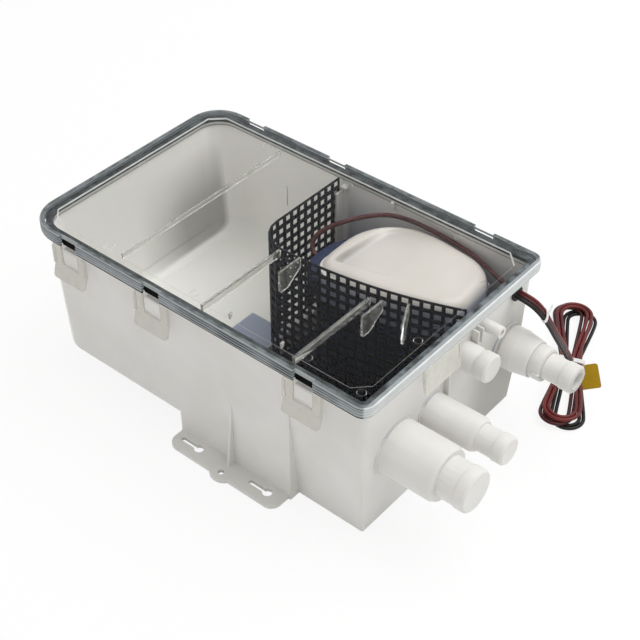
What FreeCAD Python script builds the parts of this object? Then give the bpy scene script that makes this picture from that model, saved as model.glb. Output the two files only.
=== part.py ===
"""Shower sump pump: a moulded tub with a clear latched lid, a filter screen, an
automatic pump, a discharge check valve and a wire lead.

Millimetres. The origin is the centre of the lid in plan, on the tub's underside.
+X runs along the tub to the end that carries the ports, +Y to the back, +Z up.
"""
import FreeCAD, Part
import math
import os

V = FreeCAD.Vector
X_AXIS = V(1, 0, 0)
Y_AXIS = V(0, 1, 0)
Z_AXIS = V(0, 0, 1)

# Lid and overall size
lid_length = 306.0
lid_width = 197.0
overall_height = 128.2
lid_round_left = 26.0
lid_round_right = 9.0
lid_plate = 3.0
lid_edge_round = 1.4
skirt_wall = 2.0
skirt_depth = 8.7
panel_step = 1.0
panel_inset = 10.0
panel_chamfer = 10.0
rim_notch_width = 16.0
rim_notch_depth = 1.6
rim_notch_height = 2.0
lid_top = overall_height
lid_under = lid_top - lid_plate
skirt_bottom = lid_top - skirt_depth
half_length = lid_length / 2
half_width = lid_width / 2

# Rubber edge trim that seals the lid on the tub
trim_leg = 1.2
trim_leg_height = 3.2
trim_cap = 2.5
lid_seat_gap = 0.2
trim_top = lid_under - lid_seat_gap

# Tub
wall = 2.5
floor_wall = 3.0
wall_inset = 5.0
side_draft = 0.8
port_end_draft = 4.5
blind_end_draft = 9.0
tub_round_left = 22.0
tub_round_right = 6.0
shallow_floor_height = 16.0
well_length = 163.0
bottom_round = 4.0
shallow_round = 6.0
tub_top = trim_top - trim_cap
wall_y = half_width - wall_inset
port_end_x = half_length - wall_inset
well_start_x = port_end_x - well_length
floor_top = floor_wall
shallow_top = shallow_floor_height + floor_wall

# Recess low down on both long sides, beside the port end
recess_length = 61.0
recess_depth = 10.0
recess_below_top = 34.5
recess_start_x = port_end_x - recess_length
recess_height = tub_top - recess_below_top

# Ribs on the outside of the end wall
upright_rib_y = (-5.4, -3.8)
upright_rib_bottom = 46.0
upright_rib_below_top = 16.5
upright_rib_reach = 2.2
clip_rib_y = (21.5, 26.5)
clip_rib_thickness = 1.6
clip_rib_below_top = (22.5, 10.5)
clip_rib_reach = 5.0

# Ribs and blades under the lid: back from the port end, beside the screen
rib_clearance = 3.2
rib_seat = 0.5
shelf_rib_from_blind_end = 81.0
shelf_rib_thickness = 1.6
shelf_rib_depth = 4.0
well_ribs = ((141.0, 5.6, 2.4, 6.0), (62.0, 6.6, 4.0, 7.0))
blades = ((125.0, 2.8, 0.0), (54.0, 2.8, 0.0), (39.0, -5.6, 27.0))
blade_length = 22.0
blade_foot = 8.0
blade_depth = 18.0
blade_thickness = 2.0

# Finger grip of the lid
grip_y = -38.6
grip_width = 38.0
grip_drop = 20.5
grip_flare = 2.0
grip_thickness = 1.8
grip_rib = 2.0
grip_rib_proud = 2.6

# Latches: three on each long side
latch_from_blind_end = (44.0, 124.0)
latch_from_port_end = 50.0
latch_width = 31.0
latch_window = 16.4
latch_sheet = 2.0
latch_bar_drop = 15.9
latch_drop = 27.5
latch_flare = 3.2
latch_gap = 0.1
latch_rim = 2.0
latch_rim_proud = 1.2
latch_corner_round = 2.5
catch_width = 15.0
catch_bottom_below_top = 18.3
catch_top_below_top = 5.9
catch_slope = 2.4
catch_reach = 1.2
catch_lip = 1.2
catch_chamfer = 1.0
latch_x = (
    latch_from_blind_end[0] - half_length, latch_from_blind_end[1] - half_length,
    half_length - latch_from_port_end,
)
latch_bar_top = skirt_bottom - latch_bar_drop
latch_bottom = skirt_bottom - latch_drop
catch_bottom = tub_top - catch_bottom_below_top
catch_top = tub_top - catch_top_below_top

# Foot flanges, placed back from the port end
foot_thickness = 3.0
foot_start_back = 162.0
foot_end_back = 63.0
foot_reach = 15.5
foot_corner = 8.0
foot_root = 2.3
foot_bulge_radius = 11.0
foot_bulge_in = 4.0
keyhole_back = (140.0, 76.0)
keyhole_from_wall = 6.0
keyhole_big_radius = 3.6
keyhole_slot_radius = 1.7
keyhole_run = 15.0
foot_hole_back = 113.0
foot_hole_from_wall = 12.5
foot_hole_radius = 2.3
gusset_thickness = 2.2
gusset_height = 57.0
gusset_reach = 5.6
foot_start_x = port_end_x - foot_start_back
foot_end_x = port_end_x - foot_end_back
keyhole_x = (port_end_x - keyhole_back[0], port_end_x - keyhole_back[1])
foot_hole_x = port_end_x - foot_hole_back

# Hose ports on the end wall: axis place, then the stepped outside
port_wall = 2.4
collar_rise = 1.5
collar_proud = 0.3
port_edge_run = 3.0
port_edge_drop = 1.6
large_port_y = -56.7
large_port_z = 64.0
large_body_radius = 20.0
large_tip_radius = 14.8
large_step = 40.0
large_length = 62.0
medium_port_y = -18.8
medium_port_z = 69.0
medium_body_radius = 12.5
medium_tip_radius = 9.7
medium_step = 39.0
medium_length = 60.6
small_port_y = 12.2
small_port_below_top = 26.2
small_body_radius = 10.0
small_tip_drop = 0.4
small_length = 23.5
small_shoulder = 1.0
barb_rise = 0.7
barb_length = 9.0
barb_lead = 0.6
barb_end_run = 1.4
barb_end_drop = 0.6
vent_y = 33.5
vent_below_top = 13.5
vent_radius = 4.3
vent_bore = 2.4
vent_length = 15.0
vent_collar_rise = 1.0
small_port_z = tub_top - small_port_below_top
vent_z = tub_top - vent_below_top
vent_end_x = port_end_x + vent_length

# Pump: heights, then places back from the port end and in from the far wall
cover_below_lid = 10.2
cover_height = 31.0
pump_corners = ((126.5, 92.0), (69.0, 87.3), (17.0, 61.5), (22.5, 9.0), (74.0, 4.7), (119.5, 9.0))
pump_corner_radii = (13.0, 90.0, 20.0, 27.0, 60.0, 24.0)
pump_shell = 2.4
pump_taper_bottom = 9.0
pump_taper_top = 1.5
pump_flange_proud = 0.8
pump_flange = 4.0
seal_squeeze = 0.8
seal_edge = 0.3
cover_crown_radius = 420.0
crown_back = 72.0
crown_in = 47.5
cover_round = 6.0
cover_plate = 3.4
cover_hollow_gap = 3.2
scoop_radius = 34.0
scoop_depth = 2.2
scoop_below_crown = 1.2
scoop_start = (118.0, 97.5)
scoop_end = (94.0, 55.5)
scoop_middle = (105.0, 76.0)
scoop_width = 26.0
strainer_height = 16.0
strainer_plate = 2.5
strainer_wall = 2.0
strainer_slot = 3.0
strainer_slot_pitch = 13.0
strainer_ends = 24.0
strainer_bars = 3.5
snap_in = 47.5
snap_width = 10.0
snap_thickness = 1.8
snap_height = 12.0
snap_clearance = 0.25
snap_room = 8.0
chamber_floor = 3.0
chamber_hole_ring = 5.5
chamber_hole_radius = 1.5
volute_radius = 22.0
volute_height = 14.0
impeller_radius = 18.5
impeller_height = 9.0
impeller_gap = 1.2
impeller_blades = 6
impeller_plate = 1.6
impeller_hub_radius = 4.5
blade_sweep = 13.0
blade_half = 0.8
blade_inside = 0.4
eye_radius = 9.0
riser_back = 38.0
riser_in = 27.5
riser_radius = 5.5
riser_start = 10.0
stub_back = 18.5
sleeve_wall = 2.4
sleeve_length = 13.0
sleeve_edge = 1.0
clamp_width = 3.0
clamp_thickness = 0.8
clamp_screw = 3.6
clamp_screw_half = 3.5
shaft_radius = 1.6
shaft_end = 0.5
shaft_gap = 0.05
press_gap = 0.02
partition = 7.0
seal_height = 4.0
seal_radius = 6.0
motor_back = 68.0
motor_in = 48.5
can_radius = 22.0
can_wall = 1.4
can_below_split = 5.5
can_clearance = 0.3
bearing_radius = 4.5
bearing_height = 4.0
bearing_below_top = 3.5
magnet_thickness = 4.0
magnet_start = 6.0
magnet_end = 10.0
magnet_split = 10.0
armature_radius = 15.0
armature_start = 8.0
armature_end = 12.0
armature_slots = 5
armature_slot = 3.6
armature_slot_start = 8.0
commutator_radius = 6.0
commutator_height = 7.0
commutator_below_top = 3.7
end_plate_height = 9.0
end_plate_top = 3.0
brush_gap = 0.3
brush_length = 9.0
brush_width = 4.0
brush_height = 3.5
brush_below_top = 7.5
brush_room = 5.0
float_back = 102.5
float_in = 47.5
float_radius = 8.0
float_clearance = 1.0
float_height = 14.0
float_travel = 12.0
float_round = 1.0
float_post_radius = 2.0
float_post_gap = 0.3
float_shoulder = 1.6
switch_height = 9.0
switch_long = 22.0
switch_wide = 13.0
switch_clearance = 0.2
switch_below_split = 19.0
cover_top = lid_under - cover_below_lid
pump_split_z = cover_top - cover_height
motor_x = port_end_x - motor_back
motor_y = wall_y - motor_in
riser_x = port_end_x - riser_back
riser_y = wall_y - riser_in
stub_end_x = port_end_x - stub_back
float_x = port_end_x - float_back
float_y = wall_y - float_in
strainer_top = floor_top + strainer_height + strainer_plate
body_bottom = strainer_top
volute_top = body_bottom + volute_height
can_bottom = volute_top + partition
can_top = pump_split_z - can_below_split
can_height = can_top - can_bottom
switch_bottom = pump_split_z - switch_below_split
float_bottom = switch_bottom - float_travel - float_height - float_clearance / 2

# Discharge valve through the end wall
valve_in = 24.8
valve_below_split = 18.0
valve_body_radius = 16.0
valve_body_edge = 1.0
valve_neck_radius = 12.6
valve_shoulder = 1.0
valve_barb_radius = 9.6
valve_barb_bore = 6.6
valve_body_length = 12.0
valve_split_reach = 24.0
valve_neck_reach = 34.0
valve_reach = 57.0
valve_edge = 1.5
valve_wall = 2.6
valve_flange = 3.0
valve_pad_radius = 17.5
valve_pad_depth = 6.0
valve_lug = 3.0
valve_lug_length = 5.0
valve_lug_proud = 1.2
valve_pin_reach = 13.0
seal_thickness = 1.0
thread_radius = 10.7
thread_clearance = 0.3
thread_end = 0.5
nut_thickness = 4.0
nut_radius = 16.0
pipe_bore = 7.0
spigot_radius = 8.5
spigot_length = 7.5
flap_thickness = 1.6
flap_radius = 10.0
flap_hinge_in = 0.4
flap_seat_gap = 0.1
flap_knuckle_radius = 1.2
flap_knuckle_half = 4.0
flap_pin_radius = 0.8
flap_lug = 2.0
flap_lug_below = 1.4
flap_shoulder = 2.6
running_gap = 0.3
valve_y = wall_y - valve_in
valve_z = pump_split_z - valve_below_split
valve_body_end = port_end_x + valve_body_length
valve_split_x = port_end_x + valve_split_reach
valve_neck_end = port_end_x + valve_neck_reach
valve_end_x = port_end_x + valve_reach
valve_pad_inside_x = port_end_x - valve_pad_depth
valve_face_x = port_end_x + seal_thickness
valve_seat_x = valve_face_x + valve_flange
valve_hinge_x = valve_seat_x + flap_seat_gap + flap_knuckle_radius
valve_hinge_z = valve_z + flap_radius - flap_hinge_in
nut_x = valve_pad_inside_x - nut_thickness

# Filter screen and its guides
screen_sheet = 1.6
screen_below_top = 1.5
screen_far_back = 5.0
screen_far_in = 5.1
screen_notch = 3.0
screen_bend_radius = 22.0
screen_long_in = 96.9
screen_end_back = 8.4
screen_end_in = 68.5
screen_pitch = 11.4
screen_hole = 8.2
screen_edge = 3.0
screen_clearance = 0.4
screen_shelf_gap = 3.0
guide_rib = 1.6
guide_depth = 6.0
guide_below_top = 12.5
screen_top = tub_top - screen_below_top
screen_far_x = well_start_x - screen_far_back
screen_far_y = wall_y - screen_far_in
screen_long_y = wall_y - screen_long_in
screen_end_x = port_end_x - screen_end_back
screen_end_y = wall_y - screen_end_in
guide_top = tub_top - guide_below_top

# Wire outlet in the end wall
grommet_in = 21.5
grommet_below_top = 12.0
grommet_flange_radius = 5.4
grommet_flange = 1.7
grommet_neck_radius = 4.2
grommet_seat = 0.5
grommet_y = wall_y - grommet_in
grommet_z = tub_top - grommet_below_top

# Pump cable: points back from the port end, in from the far wall, below the lid
lead_radius = 2.2
cable_points = (
    (122.0, 63.5, 32.7), (138.0, 63.0, 27.2), (146.5, 54.5, 18.2), (143.0, 41.5, 12.2),
    (135.5, 29.0, 9.7), (123.0, 18.0, 8.2), (107.0, 10.5, 6.9), (88.0, 7.5, 6.4),
    (69.0, 7.3, 6.9), (50.0, 8.5, 8.4), (33.0, 12.5, 11.2), (18.0, 19.0, 14.0),
)

# Outer wires: points out from the port end and beside the outlet, and the
# share of the outlet's height; then the hank that they are folded into
wire_radius = 1.4
wire_spacing = 3.0
wire_points = (
    (12.5, -0.2, 0.998), (19.0, 5.0, 0.914), (21.2, 12.0, 0.801), (22.5, 19.0, 0.688), (23.3, 27.0, 0.57),
    (23.0, 36.5, 0.448), (21.5, 46.0, 0.326), (20.0, 56.0, 0.2036), (17.5, 65.0, 0.0814),
)
wire_sides = ((0, 1, 0), (-0.2, 0.97, 0.1), (-0.38, 0.88, 0.28), (-0.5, 0.77, 0.39))
hank_height = 12.0
hank_far_end = (-12.0, 118.0)
hank_far_waist = (14.0, 71.0)
hank_far_radius = 17.0
hank_near_end = (36.0, 24.0)
hank_near_waist = (17.0, 65.0)
hank_near_radius = 16.5
hank_waist_radius = 8.0
hank_middle = (15.5, 68.0)
hank_turn = 20.0
hank_strands = 9.0
hank_strands_waist = 6.3
hank_span = 30.0
tie_thickness = 1.2
tie_width = 4.0
tie_band = 1.0
tie_along = 5.0
hank_tie_width = 19.4
tag_thickness = 0.8
tag_corners = ((12.0, 69.0), (27.0, 88.0), (43.0, 67.5), (28.0, 49.0))
tag_round = 2.0


def box(x0, x1, y0, y1, z0, z1):
    """A block between two corners."""
    return Part.makeBox(x1 - x0, y1 - y0, z1 - z0, V(x0, y0, z0))


def cylinder(radius, start, end):
    """A round bar between two points."""
    run = end - start
    return Part.makeCylinder(radius, run.Length, start, run)


def ring(outer, inner, start, end):
    """A round tube between two points."""
    return cylinder(outer, start, end).cut(cylinder(inner, start, end))


def fuse(shapes):
    """One solid from several that touch."""
    body = shapes[0]
    if len(shapes) > 1:
        body = body.multiFuse(list(shapes[1:]))
    return body.removeSplitter()


def mirror_y(shape):
    """The same piece on the other long side."""
    return shape.mirror(V(0, 0, 0), Y_AXIS)


def rounded_polygon(corners, radii, z):
    """A closed wire through corners, each rounded by its own radius."""
    count = len(corners)
    starts = []
    ends = []
    mids = []
    for i in range(count):
        here = V(corners[i][0], corners[i][1], z)
        before = V(corners[i - 1][0], corners[i - 1][1], z)
        after = V(corners[(i + 1) % count][0], corners[(i + 1) % count][1], z)
        to_before = (before - here).normalize()
        to_after = (after - here).normalize()
        half = to_before.getAngle(to_after) / 2
        back = radii[i] / math.tan(half)
        bisector = (to_before + to_after).normalize()
        centre = here + bisector * (radii[i] / math.sin(half))
        starts.append(here + to_before * back)
        ends.append(here + to_after * back)
        mids.append(centre - bisector * radii[i])
    edges = []
    for i in range(count):
        edges.append(Part.Arc(starts[i], mids[i], ends[i]).toShape())
        following = starts[(i + 1) % count]
        if (following - ends[i]).Length > 0.01:
            edges.append(Part.LineSegment(ends[i], following).toShape())
    return Part.Wire(edges)


def rounded_rectangle(x0, x1, y0, y1, left, right, z):
    """A rectangle whose two ends have different corner radii."""
    corners = ((x0, y0), (x1, y0), (x1, y1), (x0, y1))
    return rounded_polygon(corners, (left, right, right, left), z)


def slab(wire, height):
    """A flat piece with the outline of a wire."""
    return Part.Face(wire).extrude(V(0, 0, height))


def prism(points, direction):
    """A prism from a closed polygon of points."""
    return Part.Face(Part.makePolygon(points + [points[0]])).extrude(direction)


def turned(profile, y, z):
    """A piece turned about an axis along X, from (x, radius) points."""
    points = [V(x, y, z + radius) for x, radius in profile]
    face = Part.Face(Part.makePolygon(points + [points[0]]))
    return face.revolve(V(0, y, z), X_AXIS, 360)


def edges_near(shape, low, high):
    """The edges whose box lies inside the box from low to high."""
    found = []
    for edge in shape.Edges:
        b = edge.BoundBox
        inside_x = low.x <= b.XMin and b.XMax <= high.x
        inside_y = low.y <= b.YMin and b.YMax <= high.y
        inside_z = low.z <= b.ZMin and b.ZMax <= high.z
        if inside_x and inside_y and inside_z:
            found.append(edge)
    return found


def outline_at(height, inset):
    """The tub's outline at a height, moved inwards by inset."""
    down = (tub_top - height) / tub_top
    x0 = -half_length + wall_inset + blind_end_draft * down + inset
    x1 = half_length - wall_inset - port_end_draft * down - inset
    y1 = wall_y - side_draft * down - inset
    left = max(tub_round_left - inset, 1.0)
    right = max(tub_round_right - inset, 1.0)
    return rounded_rectangle(x0, x1, -y1, y1, left, right, height)


def recess_cut(inset):
    """The wedge taken off the near side beside the port end."""
    outer = -half_width - 1
    face_top = -wall_y + inset
    face_bottom = -wall_y + recess_depth + inset
    start = V(recess_start_x - inset, 0, 0)
    points = [
        start + V(0, outer, -1),
        start + V(0, face_bottom + recess_depth / recess_height, -1),
        start + V(0, face_top, recess_height),
        start + V(0, outer, recess_height),
    ]
    return prism(points, V(half_length, 0, 0))


def tub_volume(inset, low, shallow_low, top):
    """The tub's outside, or its cavity when inset is the wall thickness."""
    body = Part.makeLoft([outline_at(low, inset), outline_at(top, inset)], True, True)
    reach = half_width + 10
    step_x = well_start_x + inset
    body = body.cut(box(-half_length - 10, step_x, -reach, reach, low - 5, shallow_low))
    wedge = recess_cut(inset)
    body = body.cut(wedge).cut(mirror_y(wedge))
    return body


def rounded_bottom(body, low, shallow_low, well_round, upper_round):
    """Rounds the bottom edges of the well and of the shallow floor."""
    reach = half_width + 10
    left_low = V(-half_length - 1, -reach, shallow_low - 0.1)
    left_high = V(well_start_x - 1, reach, shallow_low + 0.1)
    body = body.makeFillet(upper_round, edges_near(body, left_low, left_high))
    well_low = V(recess_start_x + 5, -reach, low - 0.1)
    well_high = V(half_length + 1, reach, low + 0.1)
    return body.makeFillet(well_round, edges_near(body, well_low, well_high))


def from_corner(place, z):
    """A point measured back from the port end and in from the far wall."""
    return V(port_end_x - place[0], wall_y - place[1], z)


def from_outlet(place, z):
    """A point measured out from the port end and beside the wire outlet."""
    return V(port_end_x + place[0], grommet_y + place[1], z)


def end_wall_x(z):
    """The outside of the port end wall at a height."""
    return port_end_x - port_end_draft * (tub_top - z) / tub_top


def port_body(y, z, body_radius, tip_radius, step_x, end_x):
    """The stepped outside of one closed hose port, on a flat collar."""
    root = port_end_x - port_end_draft - wall / 2
    collar_radius = body_radius + collar_rise
    collar_x = end_wall_x(z + collar_radius) + collar_proud
    ring_start = end_x - barb_length
    profile = [
        (root, 0),
        (root, collar_radius),
        (collar_x, collar_radius),
        (collar_x, body_radius),
        (step_x - port_edge_run, body_radius),
        (step_x, body_radius - port_edge_drop),
        (step_x, tip_radius),
        (ring_start, tip_radius),
        (ring_start + barb_lead, tip_radius + barb_rise),
        (end_x - barb_end_run, tip_radius + barb_rise),
        (end_x, tip_radius - barb_end_drop),
        (end_x, 0),
    ]
    return turned(profile, y, z)


def port_bore(y, z, body_radius, tip_radius, step_x, end_x):
    """The blind hollow inside one hose port, open to the tub."""
    mouth = port_end_x - port_end_draft - wall * 3
    profile = [
        (mouth, 0),
        (mouth, body_radius - port_wall),
        (step_x - port_wall, body_radius - port_wall),
        (step_x - port_wall, tip_radius - port_wall),
        (end_x - port_wall, tip_radius - port_wall),
        (end_x - port_wall, 0),
    ]
    return turned(profile, y, z)


def port_sizes():
    """The three stepped ports: y, z, body radius, tip radius, step, end."""
    large = (
        large_port_y, large_port_z, large_body_radius, large_tip_radius,
        port_end_x + large_step, port_end_x + large_length,
    )
    medium = (
        medium_port_y, medium_port_z, medium_body_radius, medium_tip_radius,
        port_end_x + medium_step, port_end_x + medium_length,
    )
    small_end_x = port_end_x + small_length
    small = (
        small_port_y, small_port_z, small_body_radius, small_body_radius - small_tip_drop,
        small_end_x - barb_length - small_shoulder, small_end_x,
    )
    return (large, medium, small)


def vent_outside():
    """The vent nipple and its flat collar."""
    start = V(port_end_x - wall, vent_y, vent_z)
    collar_radius = vent_radius + vent_collar_rise
    collar_end = V(end_wall_x(vent_z + collar_radius) + collar_proud, vent_y, vent_z)
    nipple = cylinder(vent_radius, start, V(vent_end_x, vent_y, vent_z))
    return fuse([nipple, cylinder(collar_radius, start, collar_end)])


def foot_flange():
    """The near foot flange, with two keyholes and a round hole."""
    inner = -wall_y + foot_root
    outer = -wall_y - foot_reach
    corners = ((foot_start_x, outer), (foot_end_x, outer), (foot_end_x, inner), (foot_start_x, inner))
    radii = (foot_corner, foot_corner, foot_root / 4, foot_root / 4)
    plate = slab(rounded_polygon(corners, radii, 0), foot_thickness)
    hole_y = -wall_y - foot_hole_from_wall
    bulge_y = hole_y + foot_bulge_in
    bulge = cylinder(foot_bulge_radius, V(foot_hole_x, bulge_y, 0), V(foot_hole_x, bulge_y, foot_thickness))
    plate = fuse([plate, bulge])
    top = foot_thickness + 1
    cuts = [cylinder(foot_hole_radius, V(foot_hole_x, hole_y, -1), V(foot_hole_x, hole_y, top))]
    slot_y = -wall_y - keyhole_from_wall
    for x in keyhole_x:
        tail_x = x - keyhole_run
        cuts.append(cylinder(keyhole_big_radius, V(x, slot_y, -1), V(x, slot_y, top)))
        cuts.append(cylinder(keyhole_slot_radius, V(tail_x, slot_y, -1), V(tail_x, slot_y, top)))
        cuts.append(box(tail_x, x, slot_y - keyhole_slot_radius, slot_y + keyhole_slot_radius, -1, top))
    for cut in cuts:
        plate = plate.cut(cut)
    return plate


def foot_gusset():
    """The upright web between the near wall and its foot flange."""
    root = -wall_y + side_draft + wall / 2
    face = -wall_y + side_draft / 2
    x = foot_hole_x - gusset_thickness / 2
    points = [
        V(x, root, foot_thickness / 2),
        V(x, face - gusset_reach, foot_thickness / 2),
        V(x, face - gusset_reach, foot_thickness),
        V(x, face, foot_thickness + gusset_height),
        V(x, root, foot_thickness + gusset_height),
    ]
    return prism(points, V(gusset_thickness, 0, 0))


def catch(x):
    """One catch block on the near wall, with a sloped underside."""
    root = -wall_y + wall / 2
    front = -half_width + catch_reach
    points = [
        V(x - catch_width / 2, root, catch_bottom),
        V(x - catch_width / 2, -wall_y - catch_lip, catch_bottom),
        V(x - catch_width / 2, front, catch_bottom + catch_slope),
        V(x - catch_width / 2, front, catch_top - catch_chamfer),
        V(x - catch_width / 2, front + catch_chamfer, catch_top),
        V(x - catch_width / 2, root, catch_top),
    ]
    return prism(points, V(catch_width, 0, 0))


def screen_guides():
    """Ribs inside the tub that hold the two ends of the screen."""
    gap = screen_sheet / 2 + screen_clearance
    end_angle = screen_end_angle()
    ribs = []
    for side in (-1, 1):
        edge = screen_far_x + side * (gap + guide_rib / 2)
        rib = box(
            edge - guide_rib / 2, edge + guide_rib / 2, screen_far_y - guide_depth, half_width,
            shallow_top - 1, guide_top,
        )
        ribs.append(rib)
        edge = side * (gap + guide_rib / 2)
        low = edge - guide_rib / 2
        rib = box(-guide_depth, half_length, low, low + guide_rib, floor_top - 1, guide_top)
        rib.rotate(V(0, 0, 0), Z_AXIS, end_angle)
        rib.translate(V(screen_end_x, screen_end_y, 0))
        ribs.append(rib)
    return ribs


def sump_box():
    """The white moulded tub with its ports, feet, catches and ribs."""
    outside = tub_volume(0, 0, shallow_floor_height, tub_top)
    outside = rounded_bottom(outside, 0, shallow_floor_height, bottom_round, shallow_round)
    cavity = tub_volume(wall, floor_top, shallow_top, tub_top)
    cavity = rounded_bottom(
        cavity, floor_top, shallow_top, bottom_round - floor_wall, shallow_round - floor_wall
    )
    foot = foot_flange()
    gusset = foot_gusset()
    pieces = [outside, foot, mirror_y(foot), gusset, mirror_y(gusset)]
    for x in latch_x:
        block = catch(x)
        pieces.append(block)
        pieces.append(mirror_y(block))
    for sizes in port_sizes():
        pieces.append(port_body(*sizes))
    pieces.append(vent_outside())
    pieces += end_wall_ribs()
    pad_start = V(valve_pad_inside_x, valve_y, valve_z)
    pad = cylinder(valve_pad_radius, pad_start, V(port_end_x, valve_y, valve_z))
    pieces.append(pad)
    tub = fuse(pieces).cut(cavity)
    inner = [tub, pad]
    for rib in screen_guides():
        inner.append(rib.common(outside))
    tub = fuse(inner)
    for sizes in port_sizes():
        tub = tub.cut(port_bore(*sizes))
    inside_x = port_end_x - port_end_draft - wall * 2
    tub = tub.cut(cylinder(vent_bore, V(inside_x, vent_y, vent_z), V(vent_end_x + 1, vent_y, vent_z)))
    thread_hole = thread_radius + thread_clearance
    tub = tub.cut(cylinder(thread_hole, V(inside_x, valve_y, valve_z), V(half_length, valve_y, valve_z)))
    neck_hole = grommet_neck_radius + press_gap
    return tub.cut(
        cylinder(neck_hole, V(inside_x, grommet_y, grommet_z), V(half_length, grommet_y, grommet_z))
    )


def end_wall_ribs():
    """The upright rib between two ports and the pair of hose clip ribs."""
    root = port_end_x - wall
    ribs = [box(
        root - wall, port_end_x + upright_rib_reach, upright_rib_y[0], upright_rib_y[1],
        upright_rib_bottom, tub_top - upright_rib_below_top,
    )]
    half = clip_rib_thickness / 2
    for y in clip_rib_y:
        ribs.append(box(
            root, port_end_x + clip_rib_reach, y - half, y + half,
            tub_top - clip_rib_below_top[0], tub_top - clip_rib_below_top[1],
        ))
    return ribs


def edge_trim():
    """The rubber channel pressed on the tub's top edge."""
    leg_bottom = tub_top - trim_leg_height
    outer = outline_at(tub_top, -trim_leg)
    inner = outline_at(tub_top, wall + trim_leg)
    height = trim_top - leg_bottom
    outer.translate(V(0, 0, leg_bottom - tub_top))
    inner.translate(V(0, 0, leg_bottom - tub_top))
    body = slab(outer, height).cut(slab(inner, height))
    top_slot = tub_volume(0, 0, shallow_floor_height, tub_top)
    slot = top_slot.cut(tub_volume(wall, floor_top, shallow_top, tub_top))
    return body.cut(slot)


def lid_outline(inset, z):
    """The lid's outline at a height, moved inwards by inset."""
    x1 = half_length - inset
    y1 = half_width - inset
    left = max(lid_round_left - inset, 1.0)
    right = max(lid_round_right - inset, 1.0)
    return rounded_rectangle(-x1, x1, -y1, y1, left, right, z)


def lid_window(x):
    """The cut in the near skirt above one latch."""
    low = skirt_bottom - 1
    high = tub_top - lid_seat_gap
    inner = -half_width + skirt_wall + latch_gap
    return box(x - latch_window / 2, x + latch_window / 2, -half_width - 1, inner, low, high)


def screen_blade(x, y, turn):
    """A blade under the lid that steadies the screen, seated across it."""
    seat = lid_under + rib_seat
    points = [
        V(0, 0, seat),
        V(0, -blade_length, seat),
        V(0, -blade_length, lid_under - blade_depth),
        V(0, blade_foot - blade_length, lid_under - blade_depth),
        V(0, 0, lid_under - blade_depth / 2),
    ]
    blade = prism(points, V(blade_thickness, 0, 0))
    blade.translate(V(-blade_thickness / 2, 0, 0))
    blade.rotate(V(0, 0, 0), Z_AXIS, turn)
    blade.translate(V(x, y, 0))
    return blade


def cross_rib(x, y0, y1, thickness, depth):
    """A rib across the underside of the lid."""
    return box(x - thickness / 2, x + thickness / 2, y0, y1, lid_under - depth, lid_under + rib_seat)


def lid():
    """The clear lid: plate, raised rim, skirt, ribs, blades and end grip."""
    plate = slab(lid_outline(0, skirt_bottom), skirt_depth)
    hollow = slab(lid_outline(skirt_wall, skirt_bottom - 1), skirt_depth - lid_plate + 1)
    body = plate.cut(hollow)
    low = V(-half_length - 1, -half_width - 1, lid_top - 0.1)
    high = V(half_length + 1, half_width + 1, lid_top + 0.1)
    body = body.makeFillet(lid_edge_round, edges_near(body, low, high))
    body = body.cut(panel_recess())
    near = -wall_y + wall + trim_leg + rib_clearance
    shelf_x = shelf_rib_from_blind_end - half_length
    shelf_near = near + blade_depth / 4
    pieces = [body, cross_rib(shelf_x, shelf_near, -shelf_near, shelf_rib_thickness, shelf_rib_depth)]
    for back, beside, thickness, depth in well_ribs:
        pieces.append(cross_rib(port_end_x - back, near, screen_long_y - beside, thickness, depth))
    for back, beside, turn in blades:
        pieces.append(screen_blade(port_end_x - back, screen_long_y - beside, turn))
    pieces.append(end_grip())
    body = fuse(pieces)
    for x in latch_x:
        window = lid_window(x)
        body = body.cut(window).cut(mirror_y(window))
        notch = rim_notch(x)
        body = body.cut(notch).cut(mirror_y(notch))
    return body


def panel_recess():
    """The shallow step down inside the lid's raised rim, with cut corners."""
    x1 = half_length - panel_inset
    y1 = half_width - panel_inset
    x0 = x1 - panel_chamfer
    y0 = y1 - panel_chamfer
    points = []
    for x, y in ((-x0, -y1), (x0, -y1), (x1, -y0), (x1, y0), (x0, y1), (-x0, y1), (-x1, y0), (-x1, -y0)):
        points.append(V(x, y, lid_top - panel_step))
    return prism(points, V(0, 0, panel_step + 1))


def rim_notch(x):
    """The gap in the raised rim's edge over one latch."""
    half = rim_notch_width / 2
    inner = -half_width + rim_notch_depth
    return box(x - half, x + half, -half_width - 1, inner, lid_top - rim_notch_height, lid_top + 1)


def end_grip():
    """The finger grip that hangs from the lid at the port end."""
    bottom = skirt_bottom - grip_drop
    points = [
        V(half_length - skirt_wall, grip_y, skirt_bottom + 1),
        V(half_length, grip_y, skirt_bottom + 1),
        V(half_length + grip_flare, grip_y, bottom),
        V(half_length + grip_flare - grip_thickness, grip_y, bottom),
    ]
    pieces = [prism(points, V(0, grip_width, 0))]
    for y in (grip_y, grip_y + grip_width - grip_rib):
        pieces.append(box(
            half_length - skirt_wall / 4, half_length + grip_rib_proud, y, y + grip_rib,
            bottom + 1, skirt_bottom + 1,
        ))
    return fuse(pieces)


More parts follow.
